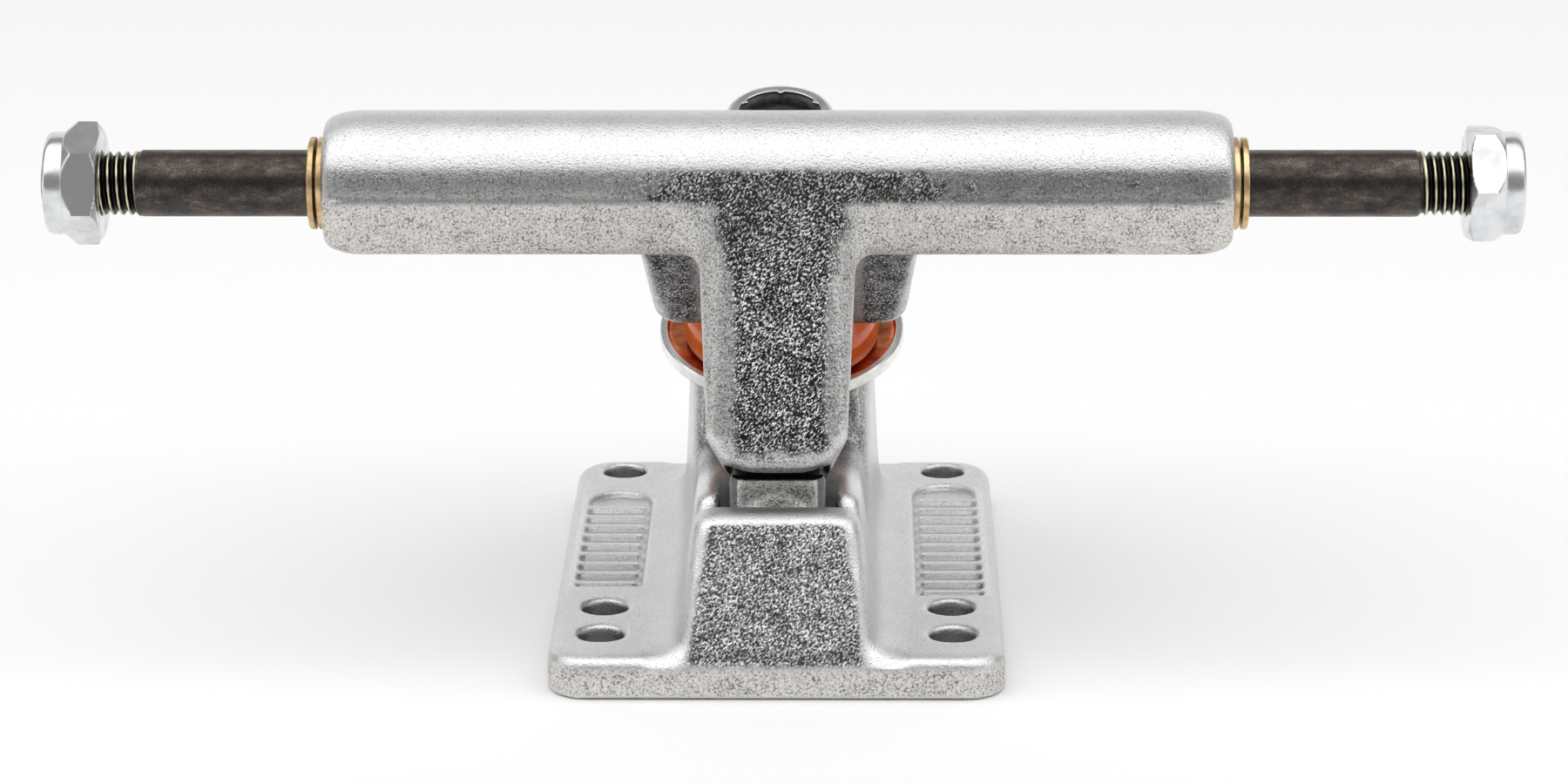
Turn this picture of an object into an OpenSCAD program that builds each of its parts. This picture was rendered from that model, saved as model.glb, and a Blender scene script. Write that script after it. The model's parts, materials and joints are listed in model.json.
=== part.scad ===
// Skateboard truck: a cast baseplate, a hanger that steers on a pivot nose and two bushings, and its hardware.
// X runs along the axle, +Z away from the deck, and the pivot nose points to -Y.
// The origin is the centre of the long bolt pattern, on the face that lies on the deck.

/* [Baseplate] */
// Width of the plate
plate_w = 53.5; // [51:0.5:60]
// From the front holes to the front edge
front_margin = 9.25; // [8:0.25:12]
// From the rear holes to the rear edge
rear_margin = 5.25; // [4.75:0.25:9]
// Thickness of the plate
plate_t = 5; // [4.5:0.25:7]
// Corner radius of the plate, seen from above
plate_corner_r = 5; // [3:0.5:6]
// Rounding of the plate's upper edge
plate_edge_r = 1.6; // [0.8:0.2:2.4]

/* [Deck holes] */
// Diameter of a deck hole
hole_d = 5.4; // [5:0.1:6]
// Spacing of the holes across the deck
hole_span = 41.28; // [40:0.01:42]
// Length of the long bolt pattern
hole_long = 63.5; // [62:0.1:64]
// Distance between the two holes of a front pair
hole_pair = 9.525; // [8:0.005:11]

/* [Recessed panels] */
// Width of a panel
panel_w = 8.1; // [6:0.1:10]
// Length of the left panel
panel_left_len = 37.2; // [25:0.1:40]
// Length of the right panel
panel_right_len = 43.4; // [25:0.1:44]
// Centre of the panels along the plate
panel_mid = 4; // [2:0.1:6]
// Depth of a panel
panel_depth = 0.7; // [0.3:0.1:1.2]
// Distance between two ribs in a panel
rib_pitch = 3.4; // [2.4:0.1:5]
// Width of a rib
rib_w = 1.4; // [0.8:0.1:2]

/* [Pivot housing] */
// Distance of the pivot point in front of the origin
pivot_front = 27; // [26:0.1:28]
// Height of the pivot point over the plate
pivot_h = 6.5; // [6:0.1:8]
// Height of the housing over the plate
block_h = 15.1; // [14.6:0.1:16]
// Width of the housing at its crown
block_top_w = 20; // [18:0.5:23]
// Width of the housing at its foot
block_foot_w = 23; // [22:0.5:26]
// Depth of the housing's crown, front to back
block_crown = 6.4; // [5:0.1:8]
// Rounding of the crown's edges
block_edge_r = 2; // [1:0.1:2.4]
// Height of the ridge between the housing and the kingpin boss
ridge_h = 12.2; // [9:0.1:13]
// Height of the shoulders beside the neck of the nose
shoulder_h = 13.6; // [12:0.1:14]

/* [Pivot cup] */
// Outside diameter of the cup
cup_d = 13.2; // [12.6:0.1:14]
// Depth of the cup from its mouth to its outer bottom
cup_len = 8; // [7:0.1:9]
// Thickness of the cup's bottom
cup_floor = 1.3; // [0.8:0.1:2]

/* [Kingpin] */
// Lean of the kingpin towards the pivot
kingpin_lean = 17; // [14:0.5:20]
// Where the kingpin's axis meets the top of the plate
kingpin_y = 24; // [23:0.1:25]
// Diameter of the kingpin
kingpin_d = 9.52; // [9:0.01:10]
// Width across the flats of the kingpin's head
head_af = 14.3; // [13:0.1:15]
// Height of the kingpin's head
head_h = 6; // [4:0.1:6.5]
// Where the head seats, along the kingpin from the top of the plate
head_seat = 4; // [3.5:0.1:8]
// Width of the kingpin boss at its seat
boss_w = 23; // [21:0.5:25]
// Height of the boss's seat, along the kingpin
boss_h = 22.6; // [21:0.1:24]

/* [Bushings and cup washers] */
// Diameter of the bottom cup washer
cup_washer_d = 30.6; // [28:0.1:31]
// Thickness of the cup washers
cup_washer_t = 1; // [0.8:0.1:1.4]
// Height of the bottom cup washer's rim
cup_washer_rim = 2.4; // [1.8:0.1:3]
// Diameter of the bottom bushing at its base
bushing_d = 24.4; // [23:0.1:26]
// Height of the bottom bushing
bushing_h = 7.9; // [7.2:0.1:9]
// Diameter of the bottom bushing under the ring
bushing_neck_d = 20.5; // [18:0.1:22]
// Diameter of the top bushing on the ring
top_bushing_d = 20; // [18.5:0.1:20.6]
// Height of the top bushing
top_bushing_h = 8; // [7:0.1:9]
// Diameter of the top cup washer
top_washer_d = 20; // [18:0.1:20.6]

/* [Hanger] */
// Length of the hanger's bar
bar_len = 107.5; // [100:0.5:110]
// Radius of the bar's upper half
bar_r = 8.7; // [8:0.1:9.5]
// Depth of the bar below the axle
bar_drop = 7.4; // [7:0.1:8.5]
// Radius of the bar's lower corners
bar_corner_r = 2.6; // [1.5:0.1:3.5]
// Rounding at the bar's ends
bar_end_r = 1.2; // [0.5:0.1:2]
// Distance from the kingpin's axis to the axle
axle_forward = 18.2; // [17.8:0.1:20]
// Height of the axle over the ring's middle, along the kingpin
axle_rise = 22.7; // [21.5:0.1:24.5]
// Width of the tongue where it leaves the bar
tongue_top_w = 18.9; // [16:0.1:20]
// Width of the tongue at its lip
tongue_lip_w = 16.7; // [14:0.1:18]
// Height of the lip over the pivot point
lip_rise = 11.6; // [10.8:0.1:12.4]
// Distance of the lip in front of the pivot point
lip_front = 1.2; // [-1:0.1:1.5]
// Diameter of the nose's neck
neck_d = 11.1; // [10.4:0.1:11.6]
// Diameter of the nose in the cup
nose_d = 9.8; // [9:0.1:10.2]
// Thickness of the bushing ring
ring_t = 5; // [4:0.1:6]
// Bore of the bushing ring
ring_bore = 16; // [15:0.1:17]
// Width of the ring at its lower face
ring_w = 31.4; // [29:0.1:32]
// Width of the yoke under the bar
yoke_w = 34; // [32:0.1:36]
// Distance of the yoke's front face from the kingpin's axis
yoke_front = 11.1; // [10.5:0.1:12]

/* [Axle] */
// Diameter of the axle
axle_d = 7.94; // [7.5:0.01:8.2]
// How much the axle's middle stands over its journals
axle_step = 0.2; // [0.18:0.01:0.3]
// Length of the axle
axle_len = 174.5; // [172:0.5:178]
// Length of the thread at each end
thread_len = 10.5; // [9:0.1:13]
// Diameter over the thread
thread_d = 7.6; // [7.3:0.01:7.62]

/* [Nuts and washers] */
// Width across the flats of an axle nut
axle_nut_af = 12.7; // [12:0.1:13.5]
// Height of an axle nut's hex
axle_nut_hex = 4.1; // [3.5:0.1:6]
// Height of an axle nut's collar
axle_nut_collar = 2.4; // [1.5:0.1:3]
// Diameter of an axle nut's collar
axle_nut_collar_d = 12.2; // [11:0.1:12.4]
// How far the right axle nut stands past the axle's end
axle_nut_proud = 0.8; // [0.2:0.1:1.5]
// How much further in the left axle nut is screwed
left_nut_in = 1.2; // [0:0.1:2]
// Turn of the left axle nut about the axle
left_nut_turn = 7; // [0:1:60]
// Turn of the right axle nut about the axle
right_nut_turn = 33; // [0:1:60]
// Width across the flats of the kingpin nut
kingpin_nut_af = 14.3; // [13.5:0.1:15]
// Height of the kingpin nut's hex
kingpin_nut_hex = 7.8; // [6:0.1:8.2]
// Height of the kingpin nut's collar
kingpin_nut_collar = 2.8; // [2:0.1:3.2]
// Diameter of the kingpin nut's collar
kingpin_nut_collar_d = 13.2; // [12:0.1:13.8]
// Outside diameter of a speed washer
speed_washer_d = 11; // [10.4:0.1:12]
// Thickness of a speed washer
speed_washer_t = 0.75; // [0.5:0.05:1]
// Gap between the two speed washers of one end
speed_washer_gap = 0.3; // [0.1:0.05:0.6]

/* [Clearances] */
// Radial clearance of the nose in its cup
nose_gap = 0.08; // [0.02:0.01:0.1]
// Radial clearance of the kingpin in its bore
kingpin_gap = 0.04; // [0.02:0.01:0.1]
// Radial clearance of the axle cast in the bar
axle_gap = 0.02; // [0.01:0.01:0.05]
// Radial clearance of the pivot cup in its pocket
cup_gap = 0.02; // [0.01:0.01:0.05]
// Radial clearance of a nylon ring in its collar
insert_gap = 0.02; // [0.01:0.01:0.05]
// Radial clearance of a nut on its thread
nut_gap = 0.06; // [0.03:0.01:0.1]
// Radial clearance of a speed washer on the axle
speed_washer_slack = 0.06; // [0.04:0.01:0.1]
// Clearance round the head of the kingpin
head_gap = 0.25; // [0.1:0.05:0.4]
// Gap between a bushing and what it bears on
bushing_gap = 0.03; // [0.01:0.01:0.1]
// Room round the cup, so that it can be pushed in past the ridge
neck_room = 0.4; // [0.3:0.1:1]
// Room left round the top cup washer when the hanger steers
washer_room = 3.2; // [3:0.1:3.6]
// Room left round the kingpin nut when the hanger steers
nut_room = 3.3; // [3:0.1:3.6]

/* [Hidden] */
$fn = 64;
// Sides of the round corners of a blended casting
blend_fn = 24;
// How far a foot or a cut runs past the face it meets
sink = 0.5;
past = 40;
// How far one blended shape of a casting starts inside its neighbour
tuck = 0.4;
// Rounding of small hardware edges
hardware_edge = 0.5;
// The hexagon's corner radius for a width across flats
function hex_r(af) = af / 2 / cos(30);
// A point in the plane x = 0, from the kingpin's axis: e behind it and s along it
function kp(e, s) = [
    0,
    kingpin_y - s * sin(kingpin_lean) + e * cos(kingpin_lean),
    plate_t + s * cos(kingpin_lean) + e * sin(kingpin_lean)
];
// Front and rear edge of the plate, from the bolt pattern's centre
plate_front = hole_long / 2 + front_margin;
plate_rear = hole_long / 2 + rear_margin;
// Stack along the kingpin, each value the height where a piece starts
bushing_s = boss_h + cup_washer_t;
ring_s = bushing_s + bushing_h;
ring_mid = ring_s + ring_t / 2;
top_bushing_s = ring_s + ring_t;
top_washer_s = top_bushing_s + top_bushing_h;
kingpin_nut_s = top_washer_s + cup_washer_t;
kingpin_nut_top = kingpin_nut_s + kingpin_nut_hex + kingpin_nut_collar;
// The kingpin ends a little below the top of its nut
kingpin_short = 1.2;
kingpin_end = kingpin_nut_top - kingpin_short;
// The pivot axis runs from the pivot point up to the middle of the ring
pivot = [0, -pivot_front, plate_t + pivot_h];
ring_centre = kp(0, ring_mid);
pivot_rise = atan2(ring_centre.z - pivot.z, ring_centre.y - pivot.y);
// Mouth and bottom of the cup, along the pivot axis from the pivot point
cup_mouth = 3;
cup_bottom = cup_mouth - cup_len;
cup_bevel = 1.5;
// The tip of the nose stays this far off the cup's floor
tip_gap = 0.3;
nose_tip = cup_bottom + cup_floor + tip_gap;
nose_tip_r = 2.5;
// The neck starts this far outside the cup
neck_off = 0.5;
neck_start = cup_mouth + neck_off;
neck_root = 15;
neck_len = 4;
// Centre of the axle
axle = kp(-axle_forward, ring_mid + axle_rise);
// Places along the axle, from its middle
washer_face_gap = 0.05;
washer_inner_x = bar_len / 2 + washer_face_gap;
washer_outer_x = washer_inner_x + speed_washer_t + speed_washer_gap;
// The journal for a wheel's bearings starts just outside the washers
journal_lead = 0.1;
journal_x = washer_outer_x + speed_washer_t + journal_lead;
axle_mid_r = axle_d / 2 + axle_step;
right_nut_x = axle_len / 2 + axle_nut_proud - axle_nut_hex - axle_nut_collar;
left_nut_x = right_nut_x - left_nut_in;
thread_x = axle_len / 2 - thread_len;
axle_neck = 1.3;
// Crown of the pivot housing, just above the mouth of the cup
crown_lead = 1.1;
crown_back = pivot.y - crown_lead;
crown_front = crown_back - block_crown;
// How far behind the pivot point the housing's foot ends and the ridge is at its height
block_back = 8.1;
ridge_start = 8;
// Rounding of the foot's corners, seen from above
foot_r = 2.4;
// The boss's straight top, its flare at the plate and the setback of its front corners
boss_cap = 1;
boss_flare = 2;
boss_corner = 1.5;
// How much narrower the bar's foot is, on each side
bar_draft = 1.1;
// Where the yoke and the web meet the bar, behind the axle
yoke_lead = 2;
// Room over the top cup washer before the hanger's pocket narrows
washer_lift = 1;
// Share of a panel's depth that its ribs fill
rib_rise = 0.7;
// Bevel and radial wall of a nut's collar, and how far the nylon ring sits below its end
collar_round = 0.8;
collar_wall = 1.2;
insert_bite = 0.3;

// Places its children on the kingpin's axis, s along it from the top of the plate
module on_kingpin(s) {
    translate([0, kingpin_y, plate_t])
        rotate([kingpin_lean, 0, 0])
            translate([0, 0, s])
                children();
}

// Places its children on the pivot axis, t up it from the pivot point
module on_pivot(t) {
    translate(pivot)
        rotate([pivot_rise - 90, 0, 0])
            translate([0, 0, t])
                children();
}

// Places its children on the axle, with their +Z pointing outwards along X
module on_axle(side, x) {
    translate([side * x, axle.y, axle.z])
        rotate([0, side * 90, 0])
            children();
}

// A roller lying along X
module roller(r, len) {
    rotate([0, 90, 0])
        cylinder(r = r, h = len, center = true, $fn = blend_fn);
}

// An upright post with a rounded upper edge
module rounded_post(r, h, edge) {
    rotate_extrude($fn = 32) {
        square([r, h - edge]);
        square([r - edge, h]);
        intersection() {
            square([r, h]);
            translate([r - edge, h - edge])
                circle(r = edge, $fn = blend_fn);
        }
    }
}

// A ring turned from a tube, from z = 0 upwards
module tube(r_out, r_in, h) {
    difference() {
        cylinder(r = r_out, h = h);
        translate([0, 0, -sink])
            cylinder(r = r_in, h = h + 2 * sink);
    }
}

// Outline of a recessed panel: straight sides with a round far end
module panel_outline(len) {
    translate([-panel_w / 2, -len / 2])
        square([panel_w, len - panel_w / 2]);
    translate([0, len / 2 - panel_w / 2])
        circle(d = panel_w);
}

// Plain cross ribs that fill a panel
module panel_ribs(len) {
    room = len - panel_w / 2;
    count = floor(room / rib_pitch);
    for (i = [0 : count - 1])
        translate([
            -panel_w / 2 + rib_w / 2,
            -len / 2 + (i + 0.5) * room / count - rib_w / 2,
            plate_t - panel_depth - sink
        ])
            cube([panel_w - rib_w, rib_w, sink + panel_depth * rib_rise]);
}

// Places its children at the middle of a panel, in line with the deck holes
module at_panel(side) {
    translate([side * hole_span / 2, panel_mid, 0])
        children();
}

// The flat plate with its rounded upper edge
module plate_slab() {
    hull()
        for (sx = [-1, 1], y = [-plate_front + plate_corner_r, plate_rear - plate_corner_r])
            translate([sx * (plate_w / 2 - plate_corner_r), y, 0])
                rounded_post(plate_corner_r, plate_t, plate_edge_r);
}

// The corners of a thin foot of the housing or the ridge, sunk in the plate
module ridge_foot(w, y_front, y_back) {
    for (x = [-w / 2 + foot_r, w / 2 - foot_r], y = [y_front + foot_r, y_back - foot_r])
        translate([x, y, plate_t - sink])
            cylinder(r = foot_r, h = sink, $fn = blend_fn);
}

// Two balls that round the upper corners of the housing or the ridge at y
module rounded_crown(y, h) {
    for (side = [-1, 1])
        translate([side * (block_top_w / 2 - block_edge_r), y, plate_t + h - block_edge_r])
            sphere(r = block_edge_r, $fn = blend_fn);
}

// The housing that holds the pivot cup
module pivot_block() {
    hull() {
        ridge_foot(block_foot_w, -plate_front + tuck, pivot.y + block_back);
        for (y = [crown_front + block_edge_r, crown_back - block_edge_r])
            rounded_crown(y, block_h);
    }
}

// The ridge between the housing and the boss
module ridge() {
    hull() {
        ridge_foot(block_foot_w, pivot.y, kingpin_y - boss_w / 2);
        rounded_crown(pivot.y + ridge_start, shoulder_h);
        rounded_crown(kingpin_y - boss_w / 2, ridge_h);
    }
}

// The boss that carries the kingpin and the cup washer
module boss() {
    hull() {
        on_kingpin(boss_h - boss_cap)
            linear_extrude(boss_cap)
                boss_outline(boss_w, boss_w / 2);
        translate([0, kingpin_y, plate_t - sink])
            linear_extrude(sink)
                boss_outline(boss_w + boss_flare, boss_w);
    }
}

// Square in front and round behind, seen along the kingpin
module boss_outline(w, front) {
    circle(d = w, $fn = 48);
    translate([-w / 2 + boss_corner, -front])
        square([w - 2 * boss_corner, front]);
}

module baseplate() {
    color("silver")
        difference() {
            union() {
                difference() {
                    plate_slab();
                    at_panel(-1)
                        translate([0, 0, plate_t - panel_depth])
                            linear_extrude(past)
                                panel_outline(panel_left_len);
                    at_panel(1)
                        translate([0, 0, plate_t - panel_depth])
                            linear_extrude(past)
                                panel_outline(panel_right_len);
                }
                at_panel(-1)
                    panel_ribs(panel_left_len);
                at_panel(1)
                    panel_ribs(panel_right_len);
                pivot_block();
                ridge();
                boss();
            }
            deck_holes();
            pivot_pocket();
            kingpin_bore();
        }
}

// The six holes for deck bolts
module deck_holes() {
    for (sx = [-1, 1], y = [-hole_long / 2, -hole_long / 2 + hole_pair, hole_long / 2])
        translate([sx * hole_span / 2, y, -sink])
            cylinder(d = hole_d, h = plate_t + 2 * sink);
}

// The pocket of the pivot cup and the room behind it for the neck of the nose
module pivot_pocket() {
    on_pivot(cup_bottom)
        cup_plug(cup_d / 2, cup_len + sink);
    on_pivot(cup_mouth)
        cylinder(d = cup_d + 2 * neck_room, h = past);
}

// A plug with a bevelled lower edge, the outer shape of the cup
module cup_plug(r, len) {
    rotate_extrude()
        polygon([[0, 0], [r - cup_bevel, 0], [r, cup_bevel], [r, len], [0, len]]);
}

// The bore of the kingpin and the hex pocket of its head, open at the deck
module kingpin_bore() {
    on_kingpin(-past)
        cylinder(d = kingpin_d + 2 * kingpin_gap, h = 2 * past);
    on_kingpin(head_seat - past)
        cylinder(r = hex_r(head_af + 2 * head_gap), h = past, $fn = 6);
}

module pivot_cup() {
    color("dimgray")
        on_pivot(cup_bottom)
            difference() {
                cup_plug(cup_d / 2 - cup_gap, cup_len);
                translate([0, 0, cup_floor])
                    cylinder(d = nose_d + 2 * nose_gap, h = cup_len);
            }
}

module kingpin() {
    color("dimgray")
        union() {
            on_kingpin(head_seat - head_h)
                cylinder(r = hex_r(head_af), h = head_h, $fn = 6);
            on_kingpin(head_seat - sink)
                cylinder(d = kingpin_d, h = kingpin_end - head_seat + sink - hardware_edge);
            on_kingpin(kingpin_end - hardware_edge)
                cylinder(d1 = kingpin_d, d2 = kingpin_d - 2 * hardware_edge, h = hardware_edge);
        }
}

module bottom_cup_washer() {
    color("gainsboro")
        on_kingpin(boss_h)
            rotate_extrude()
                polygon([
                    [kingpin_d / 2 + kingpin_gap, 0],
                    [cup_washer_d / 2 - cup_washer_t, 0],
                    [cup_washer_d / 2, cup_washer_t],
                    [cup_washer_d / 2, cup_washer_rim],
                    [cup_washer_d / 2 - cup_washer_t, cup_washer_rim],
                    [cup_washer_d / 2 - cup_washer_t, cup_washer_t],
                    [kingpin_d / 2 + kingpin_gap, cup_washer_t]
                ]);
}

module bottom_bushing() {
    bottom = bushing_gap;
    top = bushing_h - bushing_gap;
    color("orangered")
        on_kingpin(bushing_s)
            rotate_extrude()
                polygon([
                    [kingpin_d / 2 + kingpin_gap, bottom],
                    [bushing_d / 2 - hardware_edge, bottom],
                    [bushing_d / 2, bottom + hardware_edge],
                    [bushing_d / 2, bushing_h / 2],
                    [bushing_neck_d / 2, top],
                    [kingpin_d / 2 + kingpin_gap, top]
                ]);
}

module top_bushing() {
    bottom = bushing_gap;
    top = top_bushing_h - bushing_gap;
    neck = top_washer_d / 2 - cup_washer_t - hardware_edge;
    color("orangered")
        on_kingpin(top_bushing_s)
            rotate_extrude()
                polygon([
                    [kingpin_d / 2 + kingpin_gap, bottom],
                    [top_bushing_d / 2, bottom],
                    [top_bushing_d / 2, top_bushing_h / 3],
                    [neck, top_bushing_h * 0.75],
                    [neck, top],
                    [kingpin_d / 2 + kingpin_gap, top]
                ]);
}

module top_cup_washer() {
    r = top_washer_d / 2;
    color("gainsboro")
        on_kingpin(top_washer_s)
            rotate_extrude()
                polygon([
                    [kingpin_d / 2 + kingpin_gap, 0],
                    [r - cup_washer_t, 0],
                    [r - cup_washer_t, -hardware_edge],
                    [r, -hardware_edge],
                    [r, cup_washer_t - hardware_edge],
                    [r - hardware_edge, cup_washer_t],
                    [kingpin_d / 2 + kingpin_gap, cup_washer_t]
                ]);
}

// A lock nut: a bevelled hex with a round collar that holds a nylon ring
module lock_nut(af, hex_h, collar_h, collar_d, bore_d) {
    r = hex_r(af);
    bevel = 0.6 * (r - af / 2);
    difference() {
        union() {
            intersection() {
                cylinder(r = r, h = hex_h, $fn = 6);
                rotate_extrude()
                    polygon([
                        [0, 0],
                        [af / 2, 0],
                        [r, bevel],
                        [r, hex_h - bevel],
                        [af / 2, hex_h],
                        [0, hex_h]
                    ]);
            }
            translate([0, 0, hex_h - sink])
                rotate_extrude()
                    polygon([
                        [0, 0],
                        [collar_d / 2, 0],
                        [collar_d / 2, sink + collar_h - collar_round],
                        [collar_d / 2 - collar_round, sink + collar_h],
                        [0, sink + collar_h]
                    ]);
        }
        translate([0, 0, -sink])
            cylinder(d = bore_d + 2 * nut_gap, h = hex_h + collar_h + 2 * sink);
        translate([0, 0, hex_h])
            cylinder(r = insert_r(collar_d), h = collar_h + sink);
    }
}

// Outer radius of the nylon ring that fits in a collar
function insert_r(collar_d) = collar_d / 2 - collar_wall;

// The nylon ring of a lock nut, in the collar above the hex
module nut_insert(hex_h, collar_h, collar_d, bore_d) {
    translate([0, 0, hex_h])
        tube(insert_r(collar_d) - insert_gap, bore_d / 2 + nut_gap, collar_h - insert_bite);
}

module kingpin_nut() {
    color("lightgray")
        on_kingpin(kingpin_nut_s)
            lock_nut(kingpin_nut_af, kingpin_nut_hex, kingpin_nut_collar, kingpin_nut_collar_d, kingpin_d);
}

module kingpin_nut_insert() {
    color("black")
        on_kingpin(kingpin_nut_s)
            nut_insert(kingpin_nut_hex, kingpin_nut_collar, kingpin_nut_collar_d, kingpin_d);
}

// Section of the bar: a half round above the axle and a drafted foot below it
module bar_section(inset) {
    r = bar_r - inset;
    drop = bar_drop - inset;
    foot = bar_r - bar_draft - inset;
    intersection() {
        circle(r = r, $fn = 48);
        translate([-r, 0])
            square([2 * r, r]);
    }
    polygon([
        [-r, 0],
        [r, 0],
        [foot, bar_corner_r - drop],
        [foot - bar_corner_r, -drop],
        [bar_corner_r - foot, -drop],
        [-foot, bar_corner_r - drop]
    ]);
    for (side = [-1, 1])
        translate([side * (foot - bar_corner_r), bar_corner_r - drop])
            circle(r = bar_corner_r, $fn = blend_fn);
}

// A length of the bar, centred on the axle
module bar_slice(len, inset) {
    translate([-len / 2, axle.y, axle.z])
        rotate([90, 0, 90])
            linear_extrude(len)
                bar_section(inset);
}

// The bar, with its ends rounded over
module bar() {
    hull() {
        bar_slice(bar_len - 6 * bar_end_r, 0);
        bar_slice(bar_len - 2 * bar_end_r, bar_end_r * 0.25);
        bar_slice(bar_len - bar_end_r * 0.6, bar_end_r * 0.5);
        bar_slice(bar_len, bar_end_r);
    }
}

// The tongue in front of the bar, down to its lip and back to the neck of the nose
module tongue() {
    top_r = 3;
    lip_r = 1.6;
    lip = [0, pivot.y - lip_front + lip_r, pivot.z + lip_rise + lip_r];
    // The lip's arc: how far in from the side each ball is, and how far up
    lip_arc = [[0, 3], [1.15, 1], [3.55, 0.15]];
    difference() {
        hull() {
            for (side = [-1, 1]) {
                translate([side * (tongue_top_w / 2 - top_r), axle.y - bar_r + top_r - tuck, axle.z - bar_r / 2])
                    sphere(r = top_r, $fn = blend_fn);
                for (ball = lip_arc)
                    translate([side * (tongue_lip_w / 2 - lip_r - ball[0]), lip.y, lip.z + ball[1]])
                        sphere(r = lip_r, $fn = blend_fn);
            }
            translate(axle)
                roller(bar_r - tuck, tongue_top_w - 2 * top_r);
            on_pivot(neck_root)
                cylinder(d = neck_d + 2 * tuck, h = neck_len, $fn = blend_fn);
        }
        lip_slot();
    }
}

// The slot under the lip, which leaves the lip as a rim in front of the stem
module lip_slot() {
    slot_w = 12;
    slot_lead = 1;
    slot_depth = 8.5;
    slot_rise = 1.55;
    translate([-slot_w / 2, pivot.y + slot_lead, pivot.z])
        cube([slot_w, slot_depth, lip_rise + slot_rise]);
}

// The stem that rises from the neck into the slot, with its front corners cut off
module stem() {
    stem_w = 11.4;
    stem_cut = 1.2;
    stem_depth = 2.6;
    stem_lead = 2.4;
    stem_foot = 3;
    stem_top = 10.1;
    translate([0, pivot.y + stem_lead, pivot.z + stem_foot])
        linear_extrude(stem_top - stem_foot)
            polygon([
                [-stem_w / 2, stem_cut],
                [stem_cut - stem_w / 2, 0],
                [stem_w / 2 - stem_cut, 0],
                [stem_w / 2, stem_cut],
                [stem_w / 2, stem_depth],
                [-stem_w / 2, stem_depth]
            ]);
}

// The ring that sits between the bushings, and the yoke that carries it under the bar
module yoke() {
    post_r = 3.5;
    hull() {
        on_kingpin(ring_s) {
            intersection() {
                cylinder(d = ring_w, h = ring_t, $fn = 48);
                translate([-ring_w, 0, 0])
                    cube([2 * ring_w, ring_w, ring_t]);
            }
            for (side = [-1, 1])
                translate([side * (ring_w / 2 - post_r), post_r - yoke_front, ring_t])
                    mirror([0, 0, 1])
                        rounded_post(post_r, ring_t, post_r / 2);
        }
        for (y = [axle.y + yoke_lead, axle.y + bar_r - post_r])
            translate([0, y - tuck, axle.z - bar_drop + post_r + tuck])
                roller(post_r, yoke_w);
    }
}

// The web that ties the neck of the nose to the ring
module web() {
    web_inset = 1;
    web_w = neck_d - web_inset;
    web_lead = 2.4;
    web_lap = 4;
    top_r = 1.5;
    hull() {
        on_pivot(neck_root + tuck)
            cylinder(d = neck_d, h = neck_len + tuck, $fn = blend_fn);
        on_kingpin(ring_s + sink)
            translate([-web_w / 2, -yoke_front - web_lead, 0])
                cube([web_w, web_lap, ring_t]);
        translate([0, axle.y + yoke_lead, axle.z - bar_drop + top_r + sink])
            roller(top_r, web_w);
    }
}

// The nose that turns in the pivot cup
module nose() {
    on_pivot(nose_tip)
        rotate_extrude()
            union() {
                translate([0, nose_tip_r])
                    square([nose_d / 2, neck_start - nose_tip]);
                square([nose_d / 2 - nose_tip_r, nose_tip_r + sink]);
                intersection() {
                    translate([nose_d / 2 - nose_tip_r, nose_tip_r])
                        circle(r = nose_tip_r);
                    square([nose_d, nose_d]);
                }
            }
    on_pivot(neck_start)
        cylinder(d = neck_d, h = neck_root - neck_start + neck_len / 2);
}

// The room that the kingpin's stack needs inside the hanger, turned about the kingpin
module kingpin_room() {
    seat_r = top_bushing_d / 2 + hardware_edge;
    washer_r = top_washer_d / 2 + washer_room;
    nut_r = hex_r(kingpin_nut_af) + nut_room;
    washer_low = ring_t + top_bushing_h;
    washer_high = washer_low + cup_washer_t + washer_lift;
    on_kingpin(ring_s)
        rotate_extrude()
            polygon([
                [0, -sink],
                [ring_bore / 2, -sink],
                [ring_bore / 2, ring_t],
                [seat_r, ring_t],
                [washer_r, washer_low],
                [washer_r, washer_high],
                [nut_r, washer_high],
                [nut_r, past],
                [0, past]
            ]);
}

module hanger() {
    color("darkgray")
        difference() {
            union() {
                difference() {
                    union() {
                        bar();
                        yoke();
                        web();
                        tongue();
                    }
                    kingpin_room();
                }
                nose();
                stem();
            }
            translate([-bar_len, axle.y, axle.z])
                rotate([0, 90, 0])
                    cylinder(r = axle_mid_r + axle_gap, h = 2 * bar_len);
        }
}

module axle() {
    half = axle_len / 2;
    color("saddlebrown")
        translate([0, axle.y, axle.z])
            rotate([0, 90, 0])
                rotate_extrude()
                    polygon([
                        [0, -half],
                        [thread_d / 2 - hardware_edge, -half],
                        [thread_d / 2, -half + hardware_edge],
                        [thread_d / 2, -thread_x],
                        [axle_d / 2, -thread_x + axle_neck],
                        [axle_d / 2, -journal_x],
                        [axle_mid_r, -journal_x],
                        [axle_mid_r, journal_x],
                        [axle_d / 2, journal_x],
                        [axle_d / 2, thread_x - axle_neck],
                        [thread_d / 2, thread_x],
                        [thread_d / 2, half - hardware_edge],
                        [thread_d / 2 - hardware_edge, half],
                        [0, half]
                    ]);
}

module speed_washer(side, x) {
    color("goldenrod")
        on_axle(side, x)
            tube(speed_washer_d / 2, axle_mid_r + speed_washer_slack, speed_washer_t);
}

module speed_washer_left_inner() {
    speed_washer(-1, washer_inner_x);
}

module speed_washer_left_outer() {
    speed_washer(-1, washer_outer_x);
}

module speed_washer_right_inner() {
    speed_washer(1, washer_inner_x);
}

module speed_washer_right_outer() {
    speed_washer(1, washer_outer_x);
}

module axle_nut(side, x, turn) {
    color("gainsboro")
        on_axle(side, x)
            rotate([0, 0, turn])
                lock_nut(axle_nut_af, axle_nut_hex, axle_nut_collar, axle_nut_collar_d, thread_d);
}

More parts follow.
